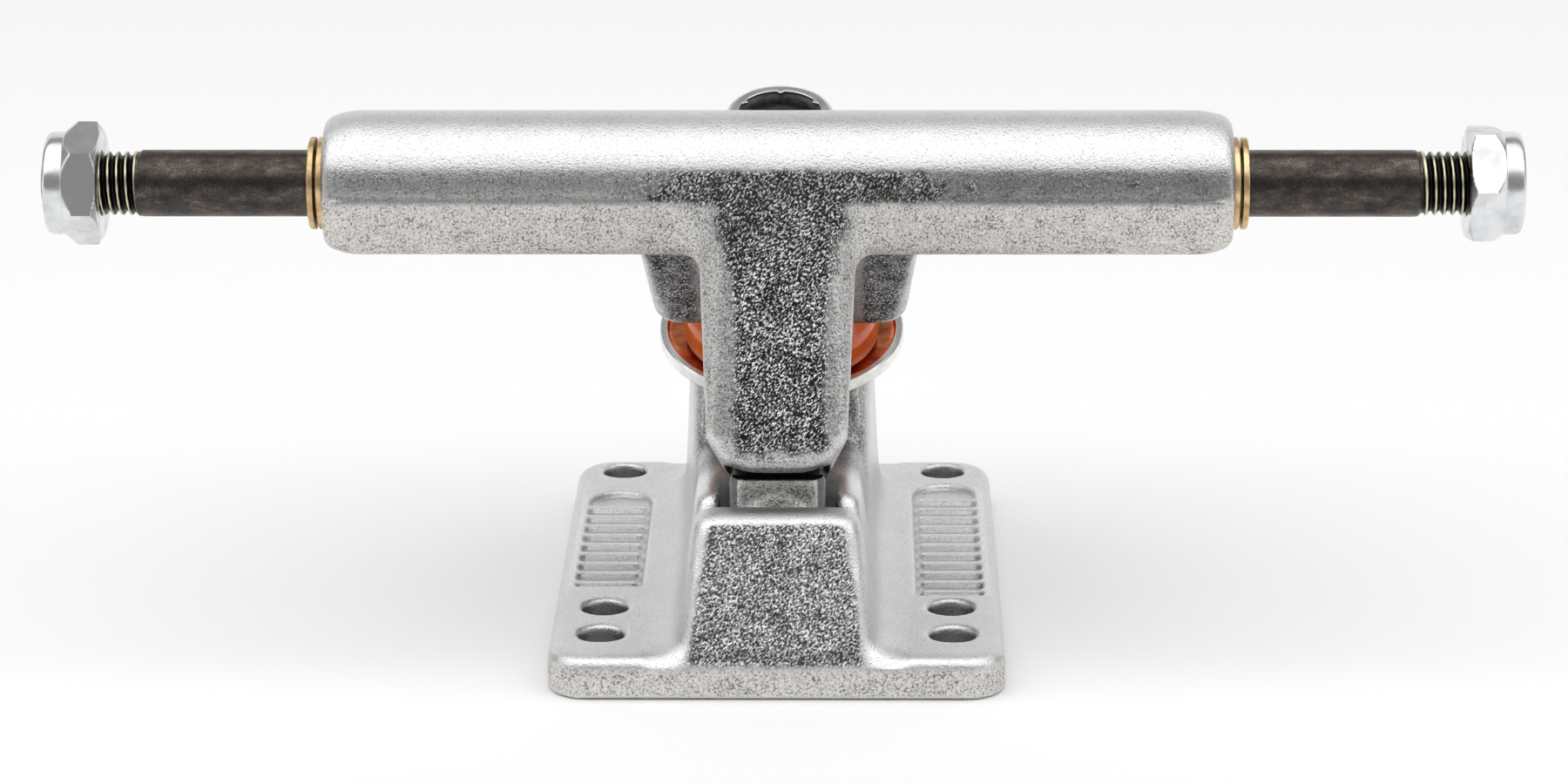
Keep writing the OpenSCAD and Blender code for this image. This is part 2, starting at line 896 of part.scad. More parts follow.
module axle_nut_insert(side, x) {
    color("whitesmoke")
        on_axle(side, x)
            nut_insert(axle_nut_hex, axle_nut_collar, axle_nut_collar_d, thread_d);
}

module axle_nut_left() {
    axle_nut(-1, left_nut_x, left_nut_turn);
}

module axle_nut_left_insert() {
    axle_nut_insert(-1, left_nut_x);
}

module axle_nut_right() {
    axle_nut(1, right_nut_x, right_nut_turn);
}

module axle_nut_right_insert() {
    axle_nut_insert(1, right_nut_x);
}

baseplate();
pivot_cup();
kingpin();
bottom_cup_washer();
bottom_bushing();
top_bushing();
top_cup_washer();
kingpin_nut();
kingpin_nut_insert();
hanger();
axle();
speed_washer_left_inner();
speed_washer_left_outer();
speed_washer_right_inner();
speed_washer_right_outer();
axle_nut_left();
axle_nut_left_insert();
axle_nut_right();
axle_nut_right_insert();
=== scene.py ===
# %% [markdown]
# # A skateboard truck
# A truck is the steering axle under a skateboard. Its two big pieces are aluminium castings, and the
# rest is steel, urethane and nylon hardware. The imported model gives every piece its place, so this
# lesson starts from it, makes a finer piece for each solid and dresses it. Everything is in metres, in
# the model's own frame.

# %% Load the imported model
import json
import math

import bmesh
import bpy
import numpy as np
from mathutils import Matrix, Vector, noise


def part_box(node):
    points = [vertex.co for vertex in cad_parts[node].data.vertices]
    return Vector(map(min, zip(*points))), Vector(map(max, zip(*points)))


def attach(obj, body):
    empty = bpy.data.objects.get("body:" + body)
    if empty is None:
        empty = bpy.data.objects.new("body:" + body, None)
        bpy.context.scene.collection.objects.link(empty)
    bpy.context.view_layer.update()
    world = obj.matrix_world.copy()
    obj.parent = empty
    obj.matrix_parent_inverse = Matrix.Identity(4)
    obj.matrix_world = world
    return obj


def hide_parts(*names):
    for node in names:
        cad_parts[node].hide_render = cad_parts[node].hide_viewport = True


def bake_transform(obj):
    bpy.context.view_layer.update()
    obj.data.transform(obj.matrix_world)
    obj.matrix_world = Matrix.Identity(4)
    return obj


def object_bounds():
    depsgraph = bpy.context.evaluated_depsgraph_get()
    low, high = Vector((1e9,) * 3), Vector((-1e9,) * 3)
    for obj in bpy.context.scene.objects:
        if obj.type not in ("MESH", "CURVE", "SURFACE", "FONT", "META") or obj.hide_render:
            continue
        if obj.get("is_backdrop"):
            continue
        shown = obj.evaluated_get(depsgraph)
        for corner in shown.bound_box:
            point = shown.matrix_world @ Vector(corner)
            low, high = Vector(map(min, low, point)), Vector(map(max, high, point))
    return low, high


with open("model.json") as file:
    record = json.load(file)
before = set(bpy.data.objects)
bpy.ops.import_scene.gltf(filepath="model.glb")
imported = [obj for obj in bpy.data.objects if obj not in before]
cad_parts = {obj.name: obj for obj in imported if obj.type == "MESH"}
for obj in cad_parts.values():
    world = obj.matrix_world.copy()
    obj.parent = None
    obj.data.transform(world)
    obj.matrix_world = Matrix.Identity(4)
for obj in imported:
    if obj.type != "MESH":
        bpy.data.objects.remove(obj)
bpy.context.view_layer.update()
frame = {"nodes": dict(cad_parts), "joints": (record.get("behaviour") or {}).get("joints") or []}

mm = 0.001

# %% [markdown]
# ## Three axes to build on
# Nearly every piece is turned about one of three lines: the axle, the leaning kingpin and the pivot
# axis that the hanger steers about. A matrix whose Z runs along such a line lets a piece be drawn
# upright and then put in place. The lines are read from the model's joints and boxes, so the pieces
# follow if the model changes.

# %% The axle, the kingpin and the pivot
joints = {joint["name"]: joint for joint in frame["joints"]}


def upright_on(point, axis):
    """The place of something drawn along Z that stands at point, along an axis in the plane x = 0."""
    return Matrix.Translation(point) @ Matrix.Rotation(math.atan2(-axis[1], axis[2]), 4, "X")


axle_low, axle_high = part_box("axle")
axle_centre = (axle_low + axle_high) / 2
on_left = Matrix.Translation(axle_centre) @ Matrix.Rotation(math.radians(-90), 4, "Y")
on_right = Matrix.Translation(axle_centre) @ Matrix.Rotation(math.radians(90), 4, "Y")
on_kingpin = upright_on(joints["kingpin_nut_turn"]["pos_m"], joints["kingpin_nut_turn"]["axis"])
on_pivot = upright_on(joints["steer"]["pos_m"], joints["steer"]["axis"])
pivot = Vector(joints["steer"]["pos_m"])
print("axle at", [round(v / mm, 2) for v in axle_centre], "pivot at", [round(v / mm, 2) for v in pivot])

# %% [markdown]
# ## Camera
# The photograph looks down on the truck from the front with a long lens. Its place was found by fitting
# a camera to the six deck holes, whose spacing is standard, so the render can be laid over the
# photograph.

# %% Set the camera where the photograph was taken
photo_width_px = 1800
focal_length_px = 5530.5
camera_data = bpy.data.cameras.new("photo_camera")
camera_data.sensor_width = 36
camera_data.lens = camera_data.sensor_width * focal_length_px / photo_width_px
camera = bpy.data.objects.new("photo_camera", camera_data)
camera.location = (8.16 * mm, -565.58 * mm, 193.28 * mm)
camera.rotation_euler = (math.radians(73.437), math.radians(0.168), math.radians(0.727))
bpy.context.scene.collection.objects.link(camera)
bpy.context.scene.camera = camera
print("lens", round(camera_data.lens, 1), "mm")

# %% [markdown]
# ## Floor and light
# Bare metal shows what is around it. The bar in the photograph has a bright band where it mirrors a
# wide soft light overhead, a grey one where it mirrors a pale backdrop and a dark one where it mirrors
# the unlit front of the room. So there is one broad light above, a dim wide one behind, a tall one at
# each side for the bright edges, and a pale floor below.

# %% A pale floor
floor_half = 3.0
floor_level = -0.1 * mm
floor_mesh = bpy.data.meshes.new("floor")
corners = [(-1, -1), (1, -1), (1, 1), (-1, 1)]
floor_points = [(x * floor_half, y * floor_half, floor_level) for x, y in corners]
floor_mesh.from_pydata(floor_points, [], [(0, 1, 2, 3)])
floor = bpy.data.objects.new("floor", floor_mesh)
bpy.context.scene.collection.objects.link(floor)
floor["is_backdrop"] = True
paper = bpy.data.materials.new("pale_paper")
paper.use_nodes = True
paper_shader = paper.node_tree.nodes["Principled BSDF"]
paper_shader.inputs["Base Color"].default_value = (0.95, 0.95, 0.95, 1)
paper_shader.inputs["Roughness"].default_value = 0.8
floor_mesh.materials.append(paper)
print("floor", 2 * floor_half, "m wide")

# %% Soft studio light
world = bpy.data.worlds.new("studio")
world.use_nodes = True
room = world.node_tree.nodes["Background"]
room.inputs["Color"].default_value = (0.8, 0.8, 0.8, 1)
room.inputs["Strength"].default_value = 0.34
bpy.context.scene.world = world
bpy.context.scene.view_settings.view_transform = "Standard"
light_target = (axle_centre + pivot) / 2


def softbox(name, place, width, height, power):
    """A rectangular light that faces the truck."""
    data = bpy.data.lights.new(name, "AREA")
    data.shape = "RECTANGLE"
    data.size = width
    data.size_y = height
    data.energy = power
    light = bpy.data.objects.new(name, data)
    light.location = place
    light.rotation_euler = (light_target - Vector(place)).to_track_quat("-Z", "Y").to_euler()
    bpy.context.scene.collection.objects.link(light)


softbox("overhead", (0, -0.24, 0.95), 2.8, 1.4, 16.2)
softbox("backdrop", (0, 1.3, 0.55), 3.0, 1.1, 7)
softbox("left_side", (-1.0, -0.15, 0.4), 0.5, 0.8, 1.0)
softbox("right_side", (1.0, -0.15, 0.4), 0.5, 0.8, 1.0)

# %% [markdown]
# ## Helpers for turned pieces
# Nuts, washers, bushings and the axle are made on a lathe or look as if they were. One helper turns a
# profile of (radius, height) points about Z. Another rounds the profile's corners first, because no
# real edge is sharp. A hexagon or a thread is only a radius that changes with the angle, so both can be
# turned as well.

# %% Turning a profile


def rounded_profile(points, steps=5):
    """A closed profile with its corners rounded: each point is (radius, height, rounding) in metres."""
    made = []
    for before, here, after in zip(points[-1:] + points[:-1], points, points[1:] + points[:1]):
        corner = np.array(here[:2])
        arms = [np.array(before[:2]) - corner, np.array(after[:2]) - corner]
        if here[2] <= 0:
            made.append(corner)
            continue
        ends = [corner + arm * min(here[2] / np.linalg.norm(arm), 0.48) for arm in arms]
        for t in np.linspace(0, 1, steps + 1):
            made.append(ends[0] * (1 - t) ** 2 + corner * 2 * t * (1 - t) + ends[1] * t * t)
    return np.array(made)


def denser(profile, spacing):
    """The same closed profile with points no further apart than spacing."""
    made = []
    for here, after in zip(profile, np.roll(profile, -1, axis=0)):
        count = max(1, math.ceil(np.linalg.norm(after - here) / spacing))
        made += [here + (after - here) * k / count for k in range(count)]
    return np.array(made)


def new_piece(name, mesh):
    """An object for a finished mesh, in the scene."""
    piece = bpy.data.objects.new(name, mesh)
    bpy.context.scene.collection.objects.link(piece)
    return piece


def turned(name, profile, place, steps=96, radius=None, sharp=40):
    """A closed profile turned about place's Z axis.

    radius(r, z, angle) may change each point's radius. Edges that turn more than sharp degrees stay crisp.
    """
    angle = np.linspace(0, 2 * math.pi, steps, endpoint=False)[None, :]
    r = np.repeat(profile[:, :1], steps, axis=1)
    z = np.repeat(profile[:, 1:], steps, axis=1)
    if radius:
        r = radius(r, z, angle)
    points = np.stack([r * np.cos(angle), r * np.sin(angle), z], axis=-1).reshape(-1, 3)
    rows = len(profile)
    row, column = np.meshgrid(np.arange(rows), np.arange(steps), indexing="ij")
    next_row, next_column = (row + 1) % rows, (column + 1) % steps
    corners = [row * steps + column, row * steps + next_column]
    corners += [next_row * steps + next_column, next_row * steps + column]
    faces = np.stack(corners, axis=-1).reshape(-1, 4)
    mesh = bpy.data.meshes.new(name)
    mesh.from_pydata(points.tolist(), [], faces.tolist())
    mesh.transform(place)
    work = bmesh.new()
    work.from_mesh(mesh)
    bmesh.ops.remove_doubles(work, verts=work.verts, dist=1e-7)
    bmesh.ops.recalc_face_normals(work, faces=work.faces)
    work.to_mesh(mesh)
    work.free()
    mesh.shade_smooth()
    mesh.set_sharp_from_angle(angle=math.radians(sharp))
    return new_piece(name, mesh)


print("turning helpers ready")

# %% [markdown]
# ## Measuring the solids
# A finer piece only fits if it keeps its solid's size. A solid's points, read as distance from an axis and
# height along it, give both ends, the bore and the outside at once, so those sizes needn't be typed again.

# %% Distance from an axis and height along it


def points_of(piece):
    """All points of a piece, one row each."""
    return np.array([v.co for v in piece.data.vertices])


def around(points, place):
    """Each point's distance from place's Z axis, and its height along it."""
    local = points @ np.array(place.inverted().to_3x3()).T + np.array(place.inverted().translation)
    return np.hypot(local[:, 0], local[:, 1]), local[:, 2]


def measure(node, place):
    """Low end, high end, smallest and largest radius of a solid about place's Z axis."""
    radius, height = around(points_of(frame["nodes"][node]), place)
    return height.min(), height.max(), radius.min(), radius.max()


print("kingpin nut about the kingpin:", [round(v / mm, 2) for v in measure("kingpin_nut", on_kingpin)])

# %% [markdown]
# ## Helpers for finishes
# A finish is a small tree of nodes. Noise in object coordinates gives grain and blotches at their real
# size, a ramp turns noise into colours, and a mix lets a painted weight choose between two looks.
# Values that are the same all over are set on the shader itself.

# %% Noise, colours and weights


def new_finish(name, metallic, roughness):
    """A material with its tree, and the shader's plain values set."""
    material = bpy.data.materials.new(name)
    material.use_nodes = True
    shader = material.node_tree.nodes["Principled BSDF"]
    shader.inputs["Metallic"].default_value = metallic
    shader.inputs["Roughness"].default_value = roughness
    return material, material.node_tree, shader


def grain_noise(tree, size, detail, roughness, stretch=(1, 1, 1), lean=0.0):
    """Noise whose lumps are size times stretch across and lean by some degrees, seen from the front."""
    place = tree.nodes.new("ShaderNodeTexCoord")
    mapping = tree.nodes.new("ShaderNodeMapping")
    mapping.vector_type = "TEXTURE"
    mapping.inputs["Scale"].default_value = [s * size for s in stretch]
    mapping.inputs["Rotation"].default_value = (0, math.radians(lean), 0)
    texture = tree.nodes.new("ShaderNodeTexNoise")
    texture.inputs["Scale"].default_value = 1
    texture.inputs["Detail"].default_value = detail
    texture.inputs["Roughness"].default_value = roughness
    tree.links.new(place.outputs["Object"], mapping.inputs["Vector"])
    tree.links.new(mapping.outputs["Vector"], texture.inputs["Vector"])
    return texture.outputs["Fac"]


def ramp(tree, source, *stops):
    """Colours from a value: each stop is (place, colour)."""
    node = tree.nodes.new("ShaderNodeValToRGB")
    while len(node.color_ramp.elements) < len(stops):
        node.color_ramp.elements.new(0.5)
    for element, (place, colour) in zip(node.color_ramp.elements, stops):
        element.position = place
        element.color = (*colour, 1)
    tree.links.new(source, node.inputs["Fac"])
    return node.outputs["Color"]


def grey(tree, source, *stops):
    """Shades of grey from a value, for roughness and weights."""
    return ramp(tree, source, *[(place, (shade, shade, shade)) for place, shade in stops])


def weight(tree, name):
    """A weight that was painted on the mesh, from 0 to 1."""
    node = tree.nodes.new("ShaderNodeAttribute")
    node.attribute_name = name
    return node.outputs["Fac"]


print("noise and ramps ready")

# %% Mixing values and bumps


def mix(tree, factor, a, b):
    """a where factor is 0 and b where it is 1. a and b are sockets or colours."""
    node = tree.nodes.new("ShaderNodeMix")
    node.data_type = "RGBA"
    tree.links.new(factor, node.inputs[0])
    for socket, value in ((node.inputs[6], a), (node.inputs[7], b)):
        if isinstance(value, tuple):
            socket.default_value = (*value, 1)
        else:
            tree.links.new(value, socket)
    return node.outputs[2]


def product(tree, a, b):
    """Two values multiplied. b may be a plain number."""
    node = tree.nodes.new("ShaderNodeMath")
    node.operation = "MULTIPLY"
    tree.links.new(a, node.inputs[0])
    if isinstance(b, float):
        node.inputs[1].default_value = b
    else:
        tree.links.new(b, node.inputs[1])
    return node.outputs[0]


def plus(tree, a, b, share):
    """A value with a share of another added."""
    node = tree.nodes.new("ShaderNodeMath")
    node.operation = "MULTIPLY_ADD"
    tree.links.new(b, node.inputs[0])
    node.inputs[1].default_value = share
    tree.links.new(a, node.inputs[2])
    return node.outputs[0]


def bump(tree, height, depth, strength, under=None):
    """A bump of that depth, on top of the one under it. strength is a number or a weight."""
    node = tree.nodes.new("ShaderNodeBump")
    node.inputs["Distance"].default_value = depth
    if isinstance(strength, float):
        node.inputs["Strength"].default_value = strength
    else:
        tree.links.new(strength, node.inputs["Strength"])
    tree.links.new(height, node.inputs["Height"])
    if under is not None:
        tree.links.new(under, node.inputs["Normal"])
    return node.outputs["Normal"]


def dress(tree, shader, colour, rough, normal):
    """Links a finish's colour, roughness and bump to its shader."""
    for name, source in (("Base Color", colour), ("Roughness", rough), ("Normal", normal)):
        tree.links.new(source, shader.inputs[name])


print("mixes and bumps ready")

# %% [markdown]
# ## Cast aluminium
# Both castings are poured in sand and then tumbled. Tumbling burnishes what stands out, so edges shine,
# while the faces that it can't reach keep a coarse grain with dark hollows and bright peaks. Five
# weights painted on the mesh say where each look is: grain for the coarse faces, sand for the fine matt
# ones, dull for the grey skin that tumbling never reached and for painted shade on the hanger bar's dark
# band, one for the burnished edges that also paints a highlight on the baseplate's shoulder tops, and
# hollow for painted shade in tight corners, bores, the slot under the tongue and bands on the bar.

# %% The cast finish


def cast_finish(name, pit_shade, grain_shade, skin_shade):
    """Tumbled cast aluminium: the first two shades are for its coarse grain, the last for its dull skin."""
    material, tree, shader = new_finish(name, 1.0, 0.35)
    flecks = grain_noise(tree, 0.2 * mm, 2.0, 0.6, (1, 1, 1.9), 40.0)
    coarse = grain_noise(tree, 0.26 * mm, 2.0, 0.6)
    fine = grain_noise(tree, 0.14 * mm, 2.0, 0.6)
    patch = grain_noise(tree, 2.6 * mm, 2.0, 0.5)
    cloud = grain_noise(tree, 7 * mm, 4.0, 0.6)
    grain, sand, edge = weight(tree, "grain"), weight(tree, "sand"), weight(tree, "edge")
    hollow, dull = weight(tree, "hollow"), weight(tree, "dull")
    smooth_colour = ramp(tree, cloud, (0.35, (0.6, 0.6, 0.61)), (0.65, (0.65, 0.65, 0.65)))
    speck = ramp(tree, coarse, (0.33, (0.2, 0.19, 0.19)), (0.43, (0.9, 0.9, 0.9)))
    smooth_colour = mix(tree, grey(tree, cloud, (0.4, 0.28), (0.7, 0.4)), smooth_colour, speck)
    peaks = plus(tree, flecks, patch, 0.14)
    grain_colour = grey(tree, peaks, (0.5, pit_shade), (0.6, grain_shade), (0.71, 1.0))
    pits = plus(tree, coarse, patch, 0.2)
    sand_stops = [(0.45, (0.24, 0.22, 0.21)), (0.54, (0.64, 0.62, 0.59)), (0.76, (0.9, 0.88, 0.85))]
    dull_stops = [(0.44, (0.16, 0.155, 0.15)), (0.57, skin_shade), (0.78, (0.75, 0.75, 0.75))]
    sand_colour = ramp(tree, pits, *sand_stops)
    dull_colour = ramp(tree, pits, *dull_stops)
    # The dull weight darkens to the skin's grey; on the hanger bar's dark band this is painted shade.
    colour = mix(tree, dull, smooth_colour, dull_colour)
    colour = mix(tree, grain, colour, grain_colour)
    colour = mix(tree, sand, colour, sand_colour)
    # Lightens burnished edges, and paints a highlight on the baseplate's shoulder tops.
    colour = mix(tree, product(tree, edge, 0.5), colour, (0.86, 0.86, 0.85))
    # Painted shade: near black where the hollow weight lies.
    colour = mix(tree, product(tree, hollow, 0.8), colour, (0.05, 0.048, 0.045))
    rough = mix(tree, grain, grey(tree, cloud, (0.3, 0.3), (0.7, 0.34)), (0.38, 0.38, 0.38))
    rough = mix(tree, sand, rough, (0.55, 0.55, 0.55))
    rough = mix(tree, edge, rough, (0.24, 0.24, 0.24))
    normal = bump(tree, fine, 0.05 * mm, 0.5)
    normal = bump(tree, coarse, 0.13 * mm, 0.6, normal)
    normal = bump(tree, flecks, 0.3 * mm, grain, normal)
    normal = bump(tree, coarse, 0.1 * mm, sand, normal)
    dress(tree, shader, colour, rough, normal)
    return material


hanger_finish = cast_finish("hanger_casting", 0.015, 0.11, (0.5, 0.49, 0.48))
baseplate_finish = cast_finish("baseplate_casting", 0.02, 0.33, (0.26, 0.255, 0.25))
print("castings:", hanger_finish.name, baseplate_finish.name)

# %% [markdown]
# ## Making a casting
# The solids have the right shape but meet in hard corners, and a casting never does: sand can't hold a
# sharp corner, so the pattern maker fills each one. Bevels would need clean edge loops, which solids
# joined from many shapes don't have. Remeshing the solid into an even skin and letting only its hollow
# corners rise does the same as a fillet of wax in the mould, and it works wherever two shapes meet.

# %% A fine even skin
skin_pitch = 0.36 * mm


def skin_of(name, node):
    """A copy of a solid, remeshed into even quads of about skin_pitch."""
    mesh = frame["nodes"][node].data.copy()
    mesh.name = name
    mesh.materials.clear()
    work = bmesh.new()
    work.from_mesh(mesh)
    bmesh.ops.remove_doubles(work, verts=work.verts, dist=1e-6)
    work.to_mesh(mesh)
    work.free()
    rough_piece = new_piece(name + "_rough", mesh)
    remesh = rough_piece.modifiers.new("skin", "REMESH")
    remesh.mode = "VOXEL"
    remesh.voxel_size = skin_pitch
    evaluated = rough_piece.evaluated_get(bpy.context.evaluated_depsgraph_get())
    fine_mesh = bpy.data.meshes.new_from_object(evaluated)
    fine_mesh.name = name
    bpy.data.objects.remove(rough_piece)
    fine_mesh.shade_smooth()
    return new_piece(name, fine_mesh)


print("skins have quads of", round(skin_pitch / mm, 2), "mm")

# %% [markdown]
# ## Moving a skin's points
# Blender's smooth modifier could even a skin out, but a casting needs it strong in one place and not at all
# in a bore. So the points go into arrays, where each is drawn towards the mean of its neighbours by as much
# as a weight allows. A fillet is the same move, made only where the skin is hollow.

# %% All points at once


class Skin:
    """A piece's points with their neighbours, so that all of them can be moved at once."""

    def __init__(self, piece):
        mesh = piece.data
        self.mesh = mesh
        self.points = np.zeros(3 * len(mesh.vertices))
        mesh.vertices.foreach_get("co", self.points)
        self.points = self.points.reshape(-1, 3)
        edges = np.zeros(2 * len(mesh.edges), int)
        mesh.edges.foreach_get("vertices", edges)
        self.here = np.concatenate([edges[0::2], edges[1::2]])
        self.there = np.concatenate([edges[1::2], edges[0::2]])
        self.count = np.bincount(self.here, minlength=len(self.points))[:, None]
        self.quads = np.array([p.vertices[:] for p in mesh.polygons])

    def mean_of_neighbours(self, values):
        """Each point's mean over the points that it shares an edge with."""
        columns = values[self.there].T
        sums = [np.bincount(self.here, column, len(values)) for column in columns]
        return np.stack(sums, axis=1) / self.count

    def normals(self):
        """The direction that the skin faces at each point."""
        corners = self.points[self.quads]
        face = np.cross(corners[:, 2] - corners[:, 0], corners[:, 3] - corners[:, 1])
        made = np.zeros_like(self.points)
        for k in range(3):
            for corner in range(4):
                made[:, k] += np.bincount(self.quads[:, corner], face[:, k], len(made))
        return made / np.maximum(np.linalg.norm(made, axis=1), 1e-20)[:, None]

    def smooth(self, passes, where):
        """Evens the skin out, as strongly as the weight where says."""
        for _ in range(passes):
            self.points += 0.5 * where[:, None] * (self.mean_of_neighbours(self.points) - self.points)

    def fill_corners(self, passes, where):
        """Raises hollow corners into fillets, as strongly as the weight where says."""
        for _ in range(passes):
            pull = self.mean_of_neighbours(self.points) - self.points
            hollow = (pull * self.normals()).sum(axis=1) > 0
            self.points += 0.5 * pull * (where * hollow)[:, None]

    def spread(self, values, passes):
        """Values blurred over the neighbours."""
        values = values[:, None]
        for _ in range(passes):
            values = 0.5 * values + 0.5 * self.mean_of_neighbours(values)
        return values[:, 0]

    def ridges(self):
        """How strongly the skin bulges, as one over a radius in millimetres. Hollows are negative."""
        pull = self.mean_of_neighbours(self.points) - self.points
        bulge = -(pull * self.normals()).sum(axis=1) * 4 / skin_pitch ** 2 * mm
        return self.spread(bulge, 3)

    def done(self):
        """Puts the moved points back into the mesh."""
        self.mesh.vertices.foreach_set("co", self.points.ravel())
        self.mesh.update()


print("skin tools ready")

# %% [markdown]
# ## Weights by place
# A weight is a number from 0 to 1 at each point. Curves that step up along a height, a width or a direction
# are multiplied until only the wanted face is left, and the result is painted on the mesh for the finish to
# read. Noise breaks up its border, because grain never ends in a line.

# %% Steps, distances and noise


def paint(piece, name, values):
    """Stores a weight from 0 to 1 at each point of a piece, for its finish to read."""
    layer = piece.data.attributes.new(name, "FLOAT", "POINT")
    layer.data.foreach_set("value", np.clip(values, 0, 1).astype(np.float32))


def step_up(values, low, high):
    """0 below low, 1 above high and an even curve between. low may be above high."""
    t = np.clip((values - low) / (high - low), 0, 1)
    return t * t * (3 - 2 * t)


def away_from(points, place, radius, low=-1.0, high=1.0):
    """1 away from a line and 0 nearer than radius to it, between two heights along it."""
    distance, height = around(points, place)
    return 1.0 - ((distance < radius) & (height > low) & (height < high))


def largest(*weights):
    """The largest of several weights, point by point."""
    return np.maximum.reduce(weights)


def lumps(points, size):
    """Noise from -1 to 1 at each point, with lumps of about size."""
    return np.array([noise.noise(Vector(p / size)) for p in points])


def ragged(values, points):
    """A weight whose fading border is broken up into flecks."""
    flecks = 0.6 * lumps(points, 1.6 * mm) + 0.4 * lumps(points, 0.8 * mm)
    return step_up(values + 0.55 * flecks * (values > 0.02), 0.3, 0.75)


print("weight helpers ready")

# %% [markdown]
# ## Baseplate
# The baseplate bolts to the deck. The pivot housing stands in front with a coarse face, a ridge runs
# back from it, and the boss behind carries the kingpin. The bolt holes and the bores stay as the solid
# has them. The two long panels are recessed and carry plain ribs.

# %% The baseplate's skin
plate_top = 5 * mm
hole_side = 20.64 * mm
hole_rows = (-31.75 * mm, -22.225 * mm, 31.75 * mm)
hole_wall, hole_rim = 3.2 * mm, 3.6 * mm
cup_pocket = 6.85 * mm
kingpin_bore = 5.6 * mm
panel_middle, panel_half_width, panel_half_length = 4 * mm, 4.8 * mm, 23 * mm
baseplate = skin_of("baseplate_casting_skin", "baseplate")
skin = Skin(baseplate)
x, y, z = skin.points.T
on_panel = (abs(abs(x) - hole_side) < panel_half_width) & (abs(y - panel_middle) < panel_half_length)
off_panel = np.where(on_panel, 0.0, 1.0)
skin.smooth(4, np.maximum(off_panel, 0.15))
free = away_from(skin.points, on_pivot, cup_pocket) * away_from(skin.points, on_kingpin, kingpin_bore)
in_holes = np.zeros(len(skin.points))
for hole in [Matrix.Translation((side * hole_side, row, 0)) for side in (-1, 1) for row in hole_rows]:
    free *= away_from(skin.points, hole, hole_rim)
    in_holes += 1 - away_from(skin.points, hole, hole_wall)
free *= off_panel * (z > 1 * mm)
skin.fill_corners(180, free)
skin.smooth(8, free)
height = z - plate_top
behind = y - pivot.y
crown = step_up(height, 8 * mm, 11 * mm) * step_up(behind, -1.5 * mm, -3 * mm)
shoulders = step_up(height, 7 * mm, 9 * mm) * step_up(behind, 2 * mm, 4 * mm)
shoulders *= step_up(y, -10 * mm, -13 * mm)
flanks = step_up(abs(x), 9.5 * mm, 10.5 * mm) * step_up(abs(x), 15.6 * mm, 14.8 * mm) * (height > -1 * mm)
skin.smooth(60, free * largest(crown, 0.2 * shoulders, 0.8 * flanks))
print("baseplate skin:", len(skin.points), "points")

# %% Grain and sand on the baseplate
housing_face = (0, -0.87, 0.49)
face_half, face_fade, face_lean = 9.3 * mm, 11.1 * mm, 0.14
x, y, z = skin.points.T
height = z - plate_top
behind = y - pivot.y
normal = skin.normals()
level = abs(normal[:, 2])
faced = normal @ np.array(housing_face)
upper_part = step_up(height, 6 * mm, 9 * mm)
grain = step_up(faced, 0.72, 0.9) * (1 - upper_part) + step_up(faced, 0.93, 0.985) * upper_part
grain *= step_up(behind, 0, -2 * mm) * step_up(height, 0, 1.5 * mm)
foot = step_up(height, -1.3 * mm, -0.6 * mm) * step_up(height, 3 * mm, 1.5 * mm)
foot *= step_up(behind, -4 * mm, -6 * mm)
between_sides = step_up(abs(x) + face_lean * height, face_fade, face_half)
foot *= between_sides
grain = ragged(np.maximum(grain * between_sides, foot), skin.points)
sand = step_up(level, 0.5, 0.2) * step_up(height, -0.8 * mm, -2 * mm)
sand = np.maximum(sand, step_up(normal[:, 2], -0.5, -0.9) * 0.8) * (1 - in_holes)
paint(baseplate, "grain", skin.spread(grain, 1) * 0.95)
paint(baseplate, "sand", sand)
print("baseplate grain on", round(100 * np.mean(grain), 1), "percent of its points")

# %% Shine, a painted highlight and painted shade on the baseplate
ridge = skin.ridges()
on_boss = step_up(y, -12 * mm, -6 * mm) * step_up(height, 3 * mm, 6 * mm)
shine = step_up(ridge, 0.3, 0.8) * (1 - 0.5 * sand) * (1 - in_holes) * (1 - 0.8 * foot)
# Painted highlight on the rounded tops of the ridge's shoulders beside the pivot nose.
shoulder_highlight = shoulders * step_up(height, 10.5 * mm, 12.5 * mm)
# Painted shade: tight corners, the bolt holes' bores, a line along the housing's foot and the panel recess
# walls.
corner_shade = step_up(-ridge, 0.3, 1.1) * (1 - in_holes) * (0.3 + 0.7 * off_panel)
bore_shade = in_holes * step_up(level, 0.7, 0.4)
foot_shade_line = foot * step_up(abs(height - 0.2 * mm), 0.9 * mm, 0.3 * mm)
panel_wall_shade = on_panel * step_up(level, 0.93, 0.75) * step_up(height, -0.1 * mm, -0.35 * mm)
paint(baseplate, "dull", on_boss * step_up(abs(x), 11.2 * mm, 10.2 * mm))
# Burnished edges, plus the painted shoulder highlight.
paint(baseplate, "edge", np.maximum(shine, 0.9 * shoulder_highlight))
# All of these darken the colour as painted shade.
paint(baseplate, "hollow", largest(corner_shade, 0.4 * bore_shade, 0.35 * foot_shade_line, 0.5 * panel_wall_shade))
rough_height = (0.005 + 0.055 * grain + 0.02 * sand) * mm
skin.points += normal * (rough_height * lumps(skin.points, 0.9 * mm))[:, None]
skin.done()
baseplate.data.materials.append(baseplate_finish)
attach(baseplate, "base")
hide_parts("baseplate")
print("baseplate dressed")

# %% [markdown]
# ## Hanger
# The hanger is one casting: the bar that holds the axle, the tongue in front with its pivot nose, and
# the yoke with the ring between the bushings. The tongue's face has the coarsest grain of all. A
# parting line runs along the bar where the two halves of the mould met, with a matt sandy face below
# it.

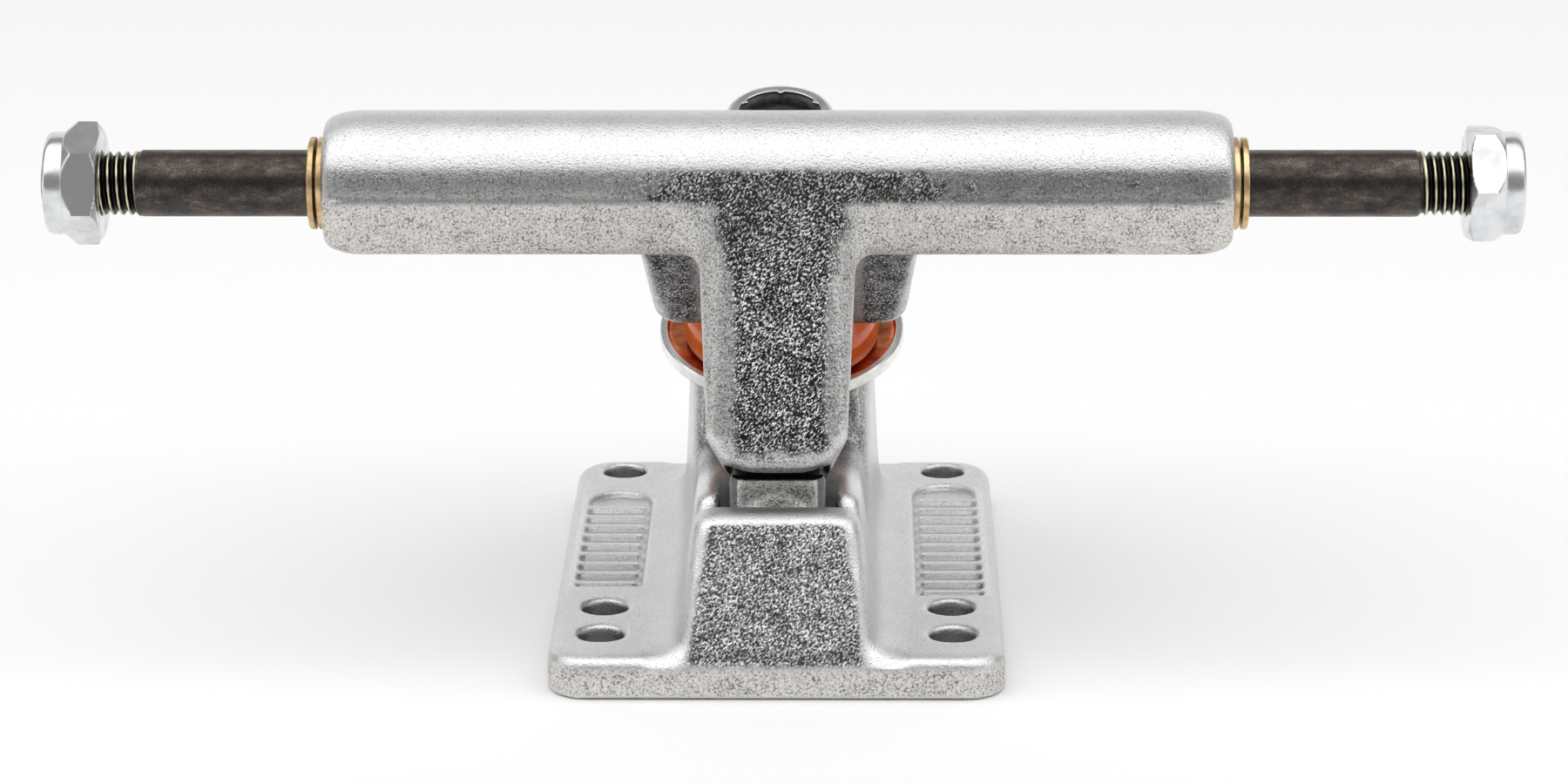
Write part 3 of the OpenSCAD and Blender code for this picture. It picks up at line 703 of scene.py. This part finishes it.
# %% The hanger's skin
ring_opening, ring_bore = 14 * mm, 8.6 * mm
nose_room, nose_top = 9.6 * mm, 19 * mm
axle_room = 6 * mm
hanger = skin_of("hanger_casting_skin", "hanger")
skin = Skin(hanger)
skin.smooth(4, np.ones(len(skin.points)))
ring_low, ring_high = measure("bottom_bushing", on_kingpin)[1], measure("top_bushing", on_kingpin)[0]
free = away_from(skin.points, on_kingpin, ring_opening, ring_low + 0.4 * mm)
free *= away_from(skin.points, on_kingpin, ring_bore)
free *= away_from(skin.points, on_pivot, nose_room, high=nose_top)
free *= away_from(skin.points, on_right, axle_room)
skin.fill_corners(150, free)
skin.smooth(6, free)
from_kingpin, up_kingpin = around(skin.points, on_kingpin)
opening = step_up(from_kingpin, ring_opening + 0.5 * mm, ring_opening - 1 * mm)
opening *= step_up(up_kingpin, ring_high + 1 * mm, ring_high + 2 * mm)
skin.smooth(40, opening)
print("hanger skin:", len(skin.points), "points")

# %% The parting line
bar_radius = 8.7 * mm
side_foot = 5.2 * mm
end_taper = 0.5 * mm
parting_drop = 0.3 * mm
parting_ledge = 0.16 * mm
x, y, z = skin.points.T
below_axle = axle_centre.z - z
behind_axle = y - axle_centre.y
on_bar = step_up(abs(x), 13 * mm, 16 * mm) * (below_axle > 0) * (below_axle < side_foot)
round_side = np.sqrt(np.maximum(bar_radius ** 2 - below_axle ** 2, 0))
ledge_side = math.sqrt(bar_radius ** 2 - parting_drop ** 2) + parting_ledge
foot_share = np.clip((below_axle - parting_drop) / (side_foot - parting_drop), 0, 1)
lower_side = ledge_side * (1 - foot_share) + abs(behind_axle) * foot_share
wanted = np.where(below_axle < parting_drop, round_side, lower_side)
outside = on_bar * (abs(behind_axle) > 6.8 * mm) * (abs(x) < 52.5 * mm)
skin.points[:, 1] += outside * np.sign(behind_axle) * (wanted - abs(behind_axle))
taper = end_taper * step_up(abs(x), 48 * mm, 55.5 * mm) ** 2
off_axle = np.hypot(y - axle_centre.y, z - axle_centre.z)
shrink = taper * step_up(off_axle, 6 * mm, 8 * mm) / np.maximum(off_axle, 1 * mm)
skin.points[:, 1] -= shrink * behind_axle
skin.points[:, 2] += shrink * below_axle
print("parting line", round(parting_drop / mm, 1), "mm below the axle")

# %% Grain and sand on the hanger
tongue_foot, tongue_flare = 5.2 * mm, 2.2 * mm
tongue_shift = 0.4 * mm
band_rise = 1.6 * mm
x, y, z = skin.points.T
rise = z - axle_centre.z
above_pivot = z - pivot.z
behind_pivot = y - pivot.y
normal = skin.normals()
facing = step_up(-0.95 * normal[:, 1] + 0.3 * normal[:, 2], 0.45, 0.8)
tongue_half = tongue_foot + tongue_flare * step_up(rise, -12 * mm, -1 * mm)
tongue_grain = facing * step_up(abs(x - tongue_shift) - tongue_half, 2 * mm, -1.2 * mm)
tongue_grain *= step_up(above_pivot, 13 * mm, 15.6 * mm) * step_up(rise, 2.4 * mm, 0.2 * mm)
band = step_up(abs(rise - band_rise), 2.6 * mm, 1.4 * mm)
right_reach = 5 * mm * step_up(x, 0, 5 * mm)
bar_reach = step_up(abs(x) - right_reach, 27 * mm, 7 * mm)
bar_reach = np.maximum(bar_reach, 0.3 + 0.18 * step_up(x, 5 * mm, 20 * mm))
bar_grain = facing * bar_reach * band * step_up(abs(x), 55 * mm, 45 * mm)
under_bar = step_up(rise, -8 * mm, -9.5 * mm)
yoke_grain = step_up(-normal[:, 1], 0.3, 0.7) * step_up(abs(x), 9.4 * mm, 10.6 * mm) * under_bar
grain = ragged(largest(tongue_grain, 0.85 * bar_grain, 0.7 * yoke_grain), skin.points)
sand = step_up(-rise, parting_drop, parting_drop + 0.3 * mm) * step_up(abs(x), 9 * mm, 11 * mm)
sand *= 1 - under_bar
stem = step_up(abs(x), 7.2 * mm, 6.4 * mm) * step_up(above_pivot, 11 * mm, 10 * mm)
stem *= step_up(behind_pivot, 4 * mm, 2 * mm)
sand = np.maximum(sand, 0.55 * stem)
paint(hanger, "grain", skin.spread(grain, 1))
paint(hanger, "sand", sand)
print("hanger grain on", round(100 * np.mean(grain), 1), "percent of its points")

# %% Shine and painted shade on the hanger
ridge = skin.ridges()
on_tongue = step_up(-rise, -1.5 * mm, 0.5 * mm) * step_up(abs(x), 13 * mm, 11 * mm)
on_tongue *= step_up(above_pivot, 10.2 * mm, 11 * mm)
below_bar = np.maximum(on_tongue, under_bar)
shine = step_up(ridge, 0.3 - 0.08 * below_bar, 0.75 - 0.2 * below_bar)
# Painted shade in the slot under the tongue's lip, in front of the pivot stem.
slot_shade = (abs(x) < 6.1 * mm) & (behind_pivot > 0.7 * mm) & (behind_pivot < 10 * mm)
slot_shade &= (behind_pivot > 2.7 * mm) | (above_pivot > 10.6 * mm)
slot_shade &= (above_pivot > 3 * mm) & (above_pivot < 13.4 * mm)
# Painted shade on the bar's dark band, stronger towards the right.
shade_band = (0.4 + 0.22 * step_up(x, 5 * mm, 25 * mm)) * band * step_up(abs(normal[:, 1]), 0.6, 0.9)
# Painted shade where the tongue meets the bar's front.
under_bar_shade = step_up(rise, -9 * mm, -2 * mm) * step_up(abs(x), 8 * mm, 6 * mm)
under_bar_shade *= step_up(rise, 3.4 * mm, 1.6 * mm)
# Painted shade in tight corners.
corner_shade = step_up(-ridge, 0.35, 1.2)
nose = 1 - away_from(skin.points, on_pivot, 6.4 * mm, high=4 * mm)
# Dull skin on the tongue and yoke, and painted shade on the bar's dark band.
paint(hanger, "dull", np.maximum(below_bar, 0.6 * band))
paint(hanger, "edge", skin.spread(shine, 2) * (1 - 0.6 * sand))
# All of these darken the colour as painted shade.
paint(hanger, "hollow", largest(corner_shade, shade_band, 0.25 * under_bar_shade * facing, slot_shade))
rough_height = (0.008 + 0.075 * grain + 0.025 * sand) * (1 - nose) * mm
skin.points += normal * (rough_height * lumps(skin.points, 0.8 * mm))[:, None]
skin.done()
hanger.data.materials.append(hanger_finish)
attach(hanger, "hanger")
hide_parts("hanger")
print("hanger dressed")

# %% [markdown]
# ## Axle
# The axle is a hard steel rod, black from its heat treatment, with a rolled thread at each end. A
# thread is a ridge that climbs as it goes round, so the radius is a wave of height minus turn. Crests
# rub bright on the nuts, and a weight painted by radius gives them their shine.

# %% The axle's rod and threads
axle_half = (axle_high.x - axle_low.x) / 2
thread_pitch = 1.06 * mm
thread_depth = 0.52 * mm
thread_radius = 3.8 * mm
journal_radius = 3.97 * mm
middle_radius = 4.17 * mm
journal_start = 55.7 * mm
thread_start = 76.75 * mm
run_out = 1.3 * mm
end_bevel = 0.7 * mm


def thread_wave(z, angle, pitch):
    """0 at a thread's root and 1 at its crest, with flat crests and roots."""
    phase = (z / pitch - angle / (2 * math.pi)) % 1
    return np.clip(1.25 - abs(phase - 0.5) * 3.2, 0, 1)


def axle_radius(r, z, angle):
    """Thickest inside the bar, plain where the wheels go, and threaded and bevelled at the ends."""
    inward = axle_half - abs(z)
    cut = np.clip((abs(z) - thread_start + run_out) / run_out, 0, 1)
    crest = thread_radius + (journal_radius - thread_radius) * (1 - cut)
    root = crest - thread_depth * cut
    threaded = root + (crest - root) * thread_wave(z, angle, thread_pitch)
    plain = np.where(abs(z) < journal_start, middle_radius, journal_radius)
    made = np.where(cut > 0, threaded, plain)
    bevelled = thread_radius - end_bevel + inward
    return np.where(r > 0, np.minimum(made, bevelled) * r / journal_radius, r)


threaded_rows = np.arange(thread_start - run_out, axle_half, thread_pitch / 12)
plain_rows = np.linspace(-thread_start + run_out, thread_start - run_out, 60)[1:-1]
step_rows = [side * journal_start * (1 + 1e-4 * k) for side in (-1, 1) for k in (-1, 1)]
plain_rows = np.sort(np.concatenate([plain_rows, step_rows]))
rows = np.concatenate([[-axle_half], -threaded_rows[::-1], plain_rows, threaded_rows, [axle_half]])
rod_profile = np.array([(0, -axle_half)] + [(journal_radius, row) for row in rows] + [(0, axle_half)])
axle_rod = turned("axle_rod", rod_profile, on_right, steps=72, radius=axle_radius, sharp=60)
rod_points = points_of(axle_rod)
off_axle = np.hypot(rod_points[:, 1] - axle_centre.y, rod_points[:, 2] - axle_centre.z)
on_thread = (abs(rod_points[:, 0]) > thread_start - run_out / 2) & (off_axle > 2 * mm)
crest = step_up(off_axle, thread_radius - 0.08 * mm, thread_radius - 0.01 * mm)
paint(axle_rod, "crest", on_thread * crest)
paint(axle_rod, "thread", on_thread)
print("axle:", len(rod_points), "points")

# %% Black heat-treated steel
axle_finish, tree, shader = new_finish("axle_steel", 1.0, 0.4)
scale_spots = grain_noise(tree, 1.7 * mm, 5.0, 0.7, (1.8, 1, 1))
soot = grain_noise(tree, 0.28 * mm, 3.0, 0.6)
scale_stops = [(0.36, (0.045, 0.039, 0.036)), (0.55, (0.095, 0.082, 0.073)), (0.72, (0.19, 0.16, 0.14))]
steel_colour = ramp(tree, scale_spots, *scale_stops)
steel_colour = mix(tree, grey(tree, soot, (0.42, 0.0), (0.66, 0.65)), steel_colour, (0.03, 0.026, 0.024))
steel_colour = mix(tree, weight(tree, "thread"), steel_colour, (0.012, 0.012, 0.012))
steel_colour = mix(tree, weight(tree, "crest"), steel_colour, (0.72, 0.66, 0.46))
steel_rough = grey(tree, scale_spots, (0.3, 0.46), (0.7, 0.26))
dress(tree, shader, steel_colour, steel_rough, bump(tree, soot, 0.02 * mm, 0.4))
axle_rod.data.materials.append(axle_finish)
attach(axle_rod, "hanger")
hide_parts("axle")
print("axle dressed")

# %% [markdown]
# ## Bright hardware finishes
# Zinc plate is a thin bright coat, a little cloudy, with fine scratches from assembly. The speed
# washers have a yellow coat over the zinc. The kingpin's own plate is duller. All are the same tree
# with other shades. Inside the bottom cup, a painted weight lays a brown-orange painted reflection of
# the bushing over the zinc.

# %% Zinc, yellow zinc and dull zinc


def plated_finish(name, shade, clouded, roughness):
    """A plated steel finish that clouds from shade to clouded."""
    material, tree, shader = new_finish(name, 1.0, roughness)
    cloud = grain_noise(tree, 3 * mm, 4.0, 0.6)
    scratch = grain_noise(tree, 0.5 * mm, 4.0, 0.7, (1, 8, 1))
    colour = ramp(tree, cloud, (0.35, clouded), (0.6, shade))
    rough = grey(tree, cloud, (0.3, roughness + 0.12), (0.7, roughness - 0.04))
    dress(tree, shader, colour, rough, bump(tree, scratch, 0.012 * mm, 0.5))
    return material


def lay_over(finish, weight_name, colour):
    """Lays another colour over a finish where a painted weight says."""
    tree = finish.node_tree
    socket = tree.nodes["Principled BSDF"].inputs["Base Color"]
    plain = socket.links[0].from_socket
    tree.links.new(mix(tree, weight(tree, weight_name), plain, colour), socket)


nut_finish = plated_finish("nut_zinc", (0.77, 0.78, 0.79), (0.6, 0.61, 0.62), 0.21)
cup_finish = plated_finish("cup_washer_zinc", (0.9, 0.9, 0.88), (0.74, 0.74, 0.72), 0.18)
speed_finish = plated_finish("speed_washer_brass", (0.82, 0.62, 0.34), (0.4, 0.24, 0.1), 0.3)
kingpin_finish = plated_finish("kingpin_steel", (0.45, 0.45, 0.46), (0.3, 0.3, 0.31), 0.36)
# Painted reflection of the orange bushing, laid over the zinc inside the bottom cup.
reflection_patches = grain_noise(cup_finish.node_tree, 1.6 * mm, 4.0, 0.6)
reflection_stops = [(0.35, (0.42, 0.1, 0.035)), (0.65, (0.85, 0.26, 0.1))]
lay_over(cup_finish, "bushing_reflection", ramp(cup_finish.node_tree, reflection_patches, *reflection_stops))
# The kingpin's top end, inside its nut, is painted near black.
lay_over(kingpin_finish, "grime", (0.03, 0.03, 0.03))
print("plated finishes:", nut_finish.name, cup_finish.name, speed_finish.name, kingpin_finish.name)

# %% [markdown]
# ## Speed washers
# Two thin washers sit on each end of the axle, against the bar, so that a wheel's bearing can turn
# freely. They are punched from sheet, which rounds one edge and leaves the other crisp.

# %% Four speed washers
for side, place in (("left", on_left), ("right", on_right)):
    for row in ("inner", "outer"):
        node = f"speed_washer_{side}_{row}"
        low, high, inside, outside = measure(node, place)
        punched = [(inside, low, 0.05 * mm), (outside, low, 0.12 * mm)]
        punched += [(outside, high, 0.3 * mm), (inside, high, 0.2 * mm)]
        washer = turned(node + "_ring", rounded_profile(punched), place)
        washer.data.materials.append(speed_finish)
        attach(washer, node)
        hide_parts(node)
        print(washer.name, round((high - low) / mm, 2), "mm thick")

# %% [markdown]
# ## Lock nuts
# A lock nut is a hexagon, chamfered so that its corners meet the wrench softly, with a round collar
# rolled over a ring of nylon. Cutting a turned blank with a hexagon gives the curved edges that the
# chamfer makes on each flat. The kingpin nut's collar is crimped in six places, which leaves small
# teeth over the nylon.

# %% A hexagon and a crimped collar
tooth_depth = 0.5 * mm
tooth_share = 0.06


def hexagon(across_flats):
    """A radius limit that cuts a turned piece to a hexagon with a corner at angle 0."""
    def cut(r, z, angle):
        from_flat = angle % math.radians(60) - math.radians(30)
        return np.minimum(r, across_flats / 2 / np.cos(from_flat))
    return cut


def crimped(across_flats, lip_height, lip_radius, teeth):
    """The hexagon limit, and teeth that reach in from the collar's lip."""
    cut = hexagon(across_flats)

    def shape(r, z, angle):
        r = cut(r, z, angle)
        if not teeth:
            return r
        turn = (angle * teeth / (2 * math.pi) + 0.5) % 1 - 0.5
        tooth = tooth_depth * np.exp(-(turn / tooth_share) ** 2)
        on_lip = (z > lip_height) & (r < lip_radius + 0.2 * mm)
        return np.where(on_lip, r - tooth, r)
    return shape


print("collar teeth", round(tooth_depth / mm, 2), "mm deep")

# %% Three lock nuts


def lock_nut(node, place, turn, across_flats, hex_height, collar_radius, ring_radius, teeth=0):
    """A plated lock nut where a solid is, turned by some degrees about its axis."""
    low, high, bore, corner = measure(node, place)
    flat = across_flats / 2
    chamfer = 0.62 * (corner - flat)
    top = low + hex_height
    lip = ring_radius - 0.35 * mm
    under_lip = high - 0.5 * mm
    blank = [(bore, low, 0.3 * mm), (flat, low, 0.1 * mm), (corner, low + chamfer, 0.1 * mm)]
    blank += [(corner, top - 2 * chamfer, 0.1 * mm), (flat, top, 0.15 * mm)]
    blank += [(collar_radius, top, 0.25 * mm), (collar_radius, high, 1.3 * mm)]
    blank += [(lip, high - 0.15 * mm, 0.12 * mm), (lip, under_lip, 0.08 * mm)]
    blank += [(ring_radius, under_lip, 0.05 * mm), (ring_radius, top, 0.05 * mm), (bore, top, 0.1 * mm)]
    profile = denser(rounded_profile(blank), 0.3 * mm)
    shape = crimped(across_flats, high - 0.6 * mm, lip, teeth)
    spun = place @ Matrix.Rotation(math.radians(turn), 4, "Z")
    nut = turned(node + "_body", profile, spun, steps=192, radius=shape, sharp=28)
    nut.data.materials.append(nut_finish)
    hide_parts(node)
    return nut


for side, place, turn in (("left", on_left, 12), ("right", on_right, 25)):
    node = "axle_nut_" + side
    nut = lock_nut(node, place, turn, across_flats=12.7 * mm, hex_height=4.1 * mm,
                   collar_radius=6.1 * mm, ring_radius=4.9 * mm)
    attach(nut, node)
    print(nut.name, len(nut.data.vertices), "points")
kingpin_nut = lock_nut("kingpin_nut", on_kingpin, 30, across_flats=14.3 * mm, hex_height=7.8 * mm,
                       collar_radius=6.6 * mm, ring_radius=5.4 * mm, teeth=6)
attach(kingpin_nut, "kingpin_nut")
print(kingpin_nut.name, len(kingpin_nut.data.vertices), "points")

# %% The nylon rings


def nylon_finish(name, shade, dull):
    """Moulded plastic, a little uneven in shade and gloss."""
    material, tree, shader = new_finish(name, 0.0, 0.4)
    flow = grain_noise(tree, 0.8 * mm, 3.0, 0.5)
    colour = ramp(tree, flow, (0.35, dull), (0.65, shade))
    rough = grey(tree, flow, (0.3, 0.3), (0.7, 0.5))
    dress(tree, shader, colour, rough, bump(tree, flow, 0.03 * mm, 0.4))
    return material


black_nylon = nylon_finish("kingpin_nut_nylon", (0.11, 0.11, 0.112), (0.05, 0.05, 0.051))
white_nylon = nylon_finish("axle_nut_nylon", (0.85, 0.84, 0.8), (0.74, 0.73, 0.69))
mouth_width, mouth_depth = 0.5 * mm, 0.7 * mm
rings = [("kingpin_nut", on_kingpin, black_nylon, "kingpin_nut_nylon")]
rings += [("axle_nut_left", on_left, white_nylon, "axle_nut_nylon")]
rings += [("axle_nut_right", on_right, white_nylon, "axle_nut_nylon")]
for nut_name, place, finish, slot_name in rings:
    low, high, inside, outside = measure(nut_name + "_insert", place)
    moulded = [(inside, low, 0.1 * mm), (outside, low, 0.1 * mm), (outside, high, 0.3 * mm)]
    moulded += [(inside + mouth_width, high, 0.5 * mm), (inside, high - mouth_depth, 0.3 * mm)]
    nylon = turned(nut_name + "_nylon", rounded_profile(moulded), place)
    nylon.data.materials.append(finish)
    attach(nylon, nut_name)
    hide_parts(nut_name + "_insert")
    print(nylon.name, "ring", round((outside - inside) / mm, 2), "mm wide")

# %% [markdown]
# ## Kingpin and pivot cup
# The kingpin is a bolt whose hexagon head sits in the baseplate, under the deck. Its thread shows in
# the nut. The pivot cup is a black urethane thimble that the hanger's nose turns in.

# %% The kingpin
low, high, _, corner = measure("kingpin", on_kingpin)
kingpin_radius = 4.76 * mm
head_height = 6 * mm
head_flats = 14.3 * mm
kingpin_pitch = 1.06 * mm
kingpin_groove = 0.5 * mm
kingpin_thread_start = -2 * mm
shank = [(0, low, 0), (head_flats / 2, low, 0.1 * mm), (corner, low + 0.5 * mm, 0.1 * mm)]
shank += [(corner, low + head_height, 0.1 * mm), (kingpin_radius, low + head_height, 0.1 * mm)]
shank += [(kingpin_radius, high - 0.5 * mm, 0), (kingpin_radius - 0.7 * mm, high, 0.1 * mm)]
shank += [(kingpin_radius - 1.6 * mm, high, 0.1 * mm), (0, high - 1.2 * mm, 0)]


def kingpin_shape(r, z, angle):
    """The head's hexagon, and a thread from below the nut to the end."""
    threaded = (z > kingpin_thread_start) & (abs(r - kingpin_radius) < 0.1 * mm)
    groove = kingpin_groove * (1 - thread_wave(z, angle, kingpin_pitch))
    return np.where(threaded, r - groove, hexagon(head_flats)(r, z, angle))


kingpin_profile = denser(rounded_profile(shank), 0.12 * mm)
kingpin = turned("kingpin_bolt", kingpin_profile, on_kingpin, steps=72, radius=kingpin_shape, sharp=50)
up_kingpin = around(points_of(kingpin), on_kingpin)[1]
# Weight for the near-black top 2 to 4 mm of the kingpin, inside the nut.
paint(kingpin, "grime", step_up(up_kingpin, high - 4 * mm, high - 2 * mm))
kingpin.data.materials.append(kingpin_finish)
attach(kingpin, "base")
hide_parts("kingpin")
print("kingpin", round((high - low) / mm, 1), "mm long")

# %% The pivot cup
low, high, _, outside = measure("pivot_cup", on_pivot)
cup_bore = 4.98 * mm
cup_floor = 1.3 * mm
cup_bevel = 1.5 * mm
thimble = [(0, low, 0), (outside - cup_bevel, low, 0.4 * mm), (outside, low + cup_bevel, 0.6 * mm)]
thimble += [(outside, high, 0.3 * mm), (cup_bore, high, 0.25 * mm), (cup_bore, low + cup_floor, 0.3 * mm)]
thimble += [(0, low + cup_floor, 0)]
pivot_cup = turned("pivot_cup_thimble", rounded_profile(thimble), on_pivot, steps=72)
cup_rubber = nylon_finish("pivot_cup_urethane", (0.035, 0.034, 0.033), (0.02, 0.02, 0.02))
pivot_cup.data.materials.append(cup_rubber)
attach(pivot_cup, "base")
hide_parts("pivot_cup")
print("pivot cup", round((high - low) / mm, 1), "mm deep")

# %% [markdown]
# ## Cup washers
# The washers that hold the bushings are pressed from sheet steel, so their corners are round on both
# sides and the sheet keeps its thickness up the rim.

# %% Two pressed washers
low, high, inside, outside = measure("bottom_cup_washer", on_kingpin)
sheet = 1.0 * mm
bowl = 1.9 * mm
wall = outside - sheet
pressed = [(inside, low, 0.1 * mm), (outside, low, bowl + sheet), (outside, high, 0.25 * mm)]
pressed += [(wall, high, 0.25 * mm), (wall, low + sheet, bowl), (inside, low + sheet, 0.2 * mm)]
bottom_cup = turned("bottom_cup_washer_pressing", rounded_profile(pressed, 8), on_kingpin, steps=144)
from_kingpin, up_kingpin = around(points_of(bottom_cup), on_kingpin)
# Where the bushing's painted reflection goes: the inside of the bottom cup.
reflecting_side = step_up(from_kingpin, outside - 0.75 * mm, outside - 1.0 * mm)
reflecting_side *= step_up(up_kingpin, low + 0.3 * mm, low + 0.8 * mm)
paint(bottom_cup, "bushing_reflection", reflecting_side)
low, high, inside, outside = measure("top_cup_washer", on_kingpin)
wall = outside - sheet
pressed = [(inside, high, 0.2 * mm), (inside, high - sheet, 0.1 * mm), (wall, high - sheet, 0.3 * mm)]
pressed += [(wall, low, 0.2 * mm), (outside, low, 0.2 * mm), (outside, high, 1.0 * mm)]
top_cup = turned("top_cup_washer_pressing", rounded_profile(pressed, 8), on_kingpin, steps=120)
for washer, node in ((bottom_cup, "bottom_cup_washer"), (top_cup, "top_cup_washer")):
    washer.data.materials.append(cup_finish)
    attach(washer, "base")
    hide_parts(node)
    print(washer.name, len(washer.data.vertices), "points")

# %% [markdown]
# ## Bushings
# The bushings are cast urethane, glossy and a little see-through. On the truck they squeeze when the
# hanger steers, one end staying on its washer while the other goes with the ring; here each one's two
# ends are found, but nothing makes it bend. Their corners are well rounded, as those of a poured piece are.

# %% Orange urethane
bushing_finish, tree, shader = new_finish("bushing_urethane", 0.0, 0.16)
shader.inputs["Subsurface Weight"].default_value = 0.35
shader.inputs["Subsurface Radius"].default_value = (1.0, 0.25, 0.08)
shader.inputs["Subsurface Scale"].default_value = 2.5 * mm
shader.inputs["Coat Weight"].default_value = 0.4
shader.inputs["Coat Roughness"].default_value = 0.08
swirl = grain_noise(tree, 4 * mm, 4.0, 0.5)
skin_marks = grain_noise(tree, 0.6 * mm, 3.0, 0.6)
urethane = ramp(tree, swirl, (0.35, (0.72, 0.105, 0.016)), (0.65, (0.9, 0.19, 0.032)))
# Painted highlight: a pale line along the bottom bushing's lower outer edge.
urethane_with_highlight = mix(tree, weight(tree, "rim"), urethane, (0.95, 0.62, 0.45))
gloss = grey(tree, skin_marks, (0.3, 0.12), (0.7, 0.26))
dress(tree, shader, urethane_with_highlight, gloss, bump(tree, skin_marks, 0.015 * mm, 0.4))
print("urethane ready")

# %% Two bushings
low, high, inside, outside = measure("bottom_bushing", on_kingpin)
neck = 10.25 * mm
waist = (low + high) / 2
cone = [(inside, low, 0.1 * mm), (outside, low, 1.1 * mm), (outside, waist, 0.9 * mm)]
cone += [(neck, high, 0.3 * mm), (inside, high, 0.1 * mm)]
cone_profile = denser(rounded_profile(cone), 0.5 * mm)
bottom_bushing = turned("bottom_bushing_urethane", cone_profile, on_kingpin, steps=120)
bottom_ends = (on_kingpin @ Vector((0, 0, low)), on_kingpin @ Vector((0, 0, high)))
from_kingpin, up_kingpin = around(points_of(bottom_bushing), on_kingpin)
# Where the painted highlight goes: a thin band at the bushing's lower outer corner.
rim = step_up(from_kingpin, outside - 0.5 * mm, outside - 0.15 * mm)
rim *= step_up(abs(up_kingpin - low - 0.7 * mm), 0.6 * mm, 0.2 * mm)
paint(bottom_bushing, "rim", rim)
low, high, inside, outside = measure("top_bushing", on_kingpin)
tip = 8.5 * mm
drum = [(inside, low, 0.1 * mm), (outside, low, 0.5 * mm), (outside, low + (high - low) / 3, 1.0 * mm)]
drum += [(tip, low + (high - low) * 0.75, 0.8 * mm), (tip, high, 0.4 * mm), (inside, high, 0.1 * mm)]
drum_profile = denser(rounded_profile(drum), 0.5 * mm)
top_bushing = turned("top_bushing_urethane", drum_profile, on_kingpin, steps=120)
top_ends = (on_kingpin @ Vector((0, 0, high)), on_kingpin @ Vector((0, 0, low)))
bushings = [(bottom_bushing, "bottom_bushing", bottom_ends), (top_bushing, "top_bushing", top_ends)]
for bushing, node, ends in bushings:
    bushing.data.materials.append(bushing_finish)
    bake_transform(bushing)
    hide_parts(node)
    print(bushing.name, len(bushing.data.vertices), "points")

# %% [markdown]
# ## Last step
# The model's box after dressing is printed.

# %% Print the box
low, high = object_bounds()
print("box in mm:", [round(v / mm, 1) for v in high - low])
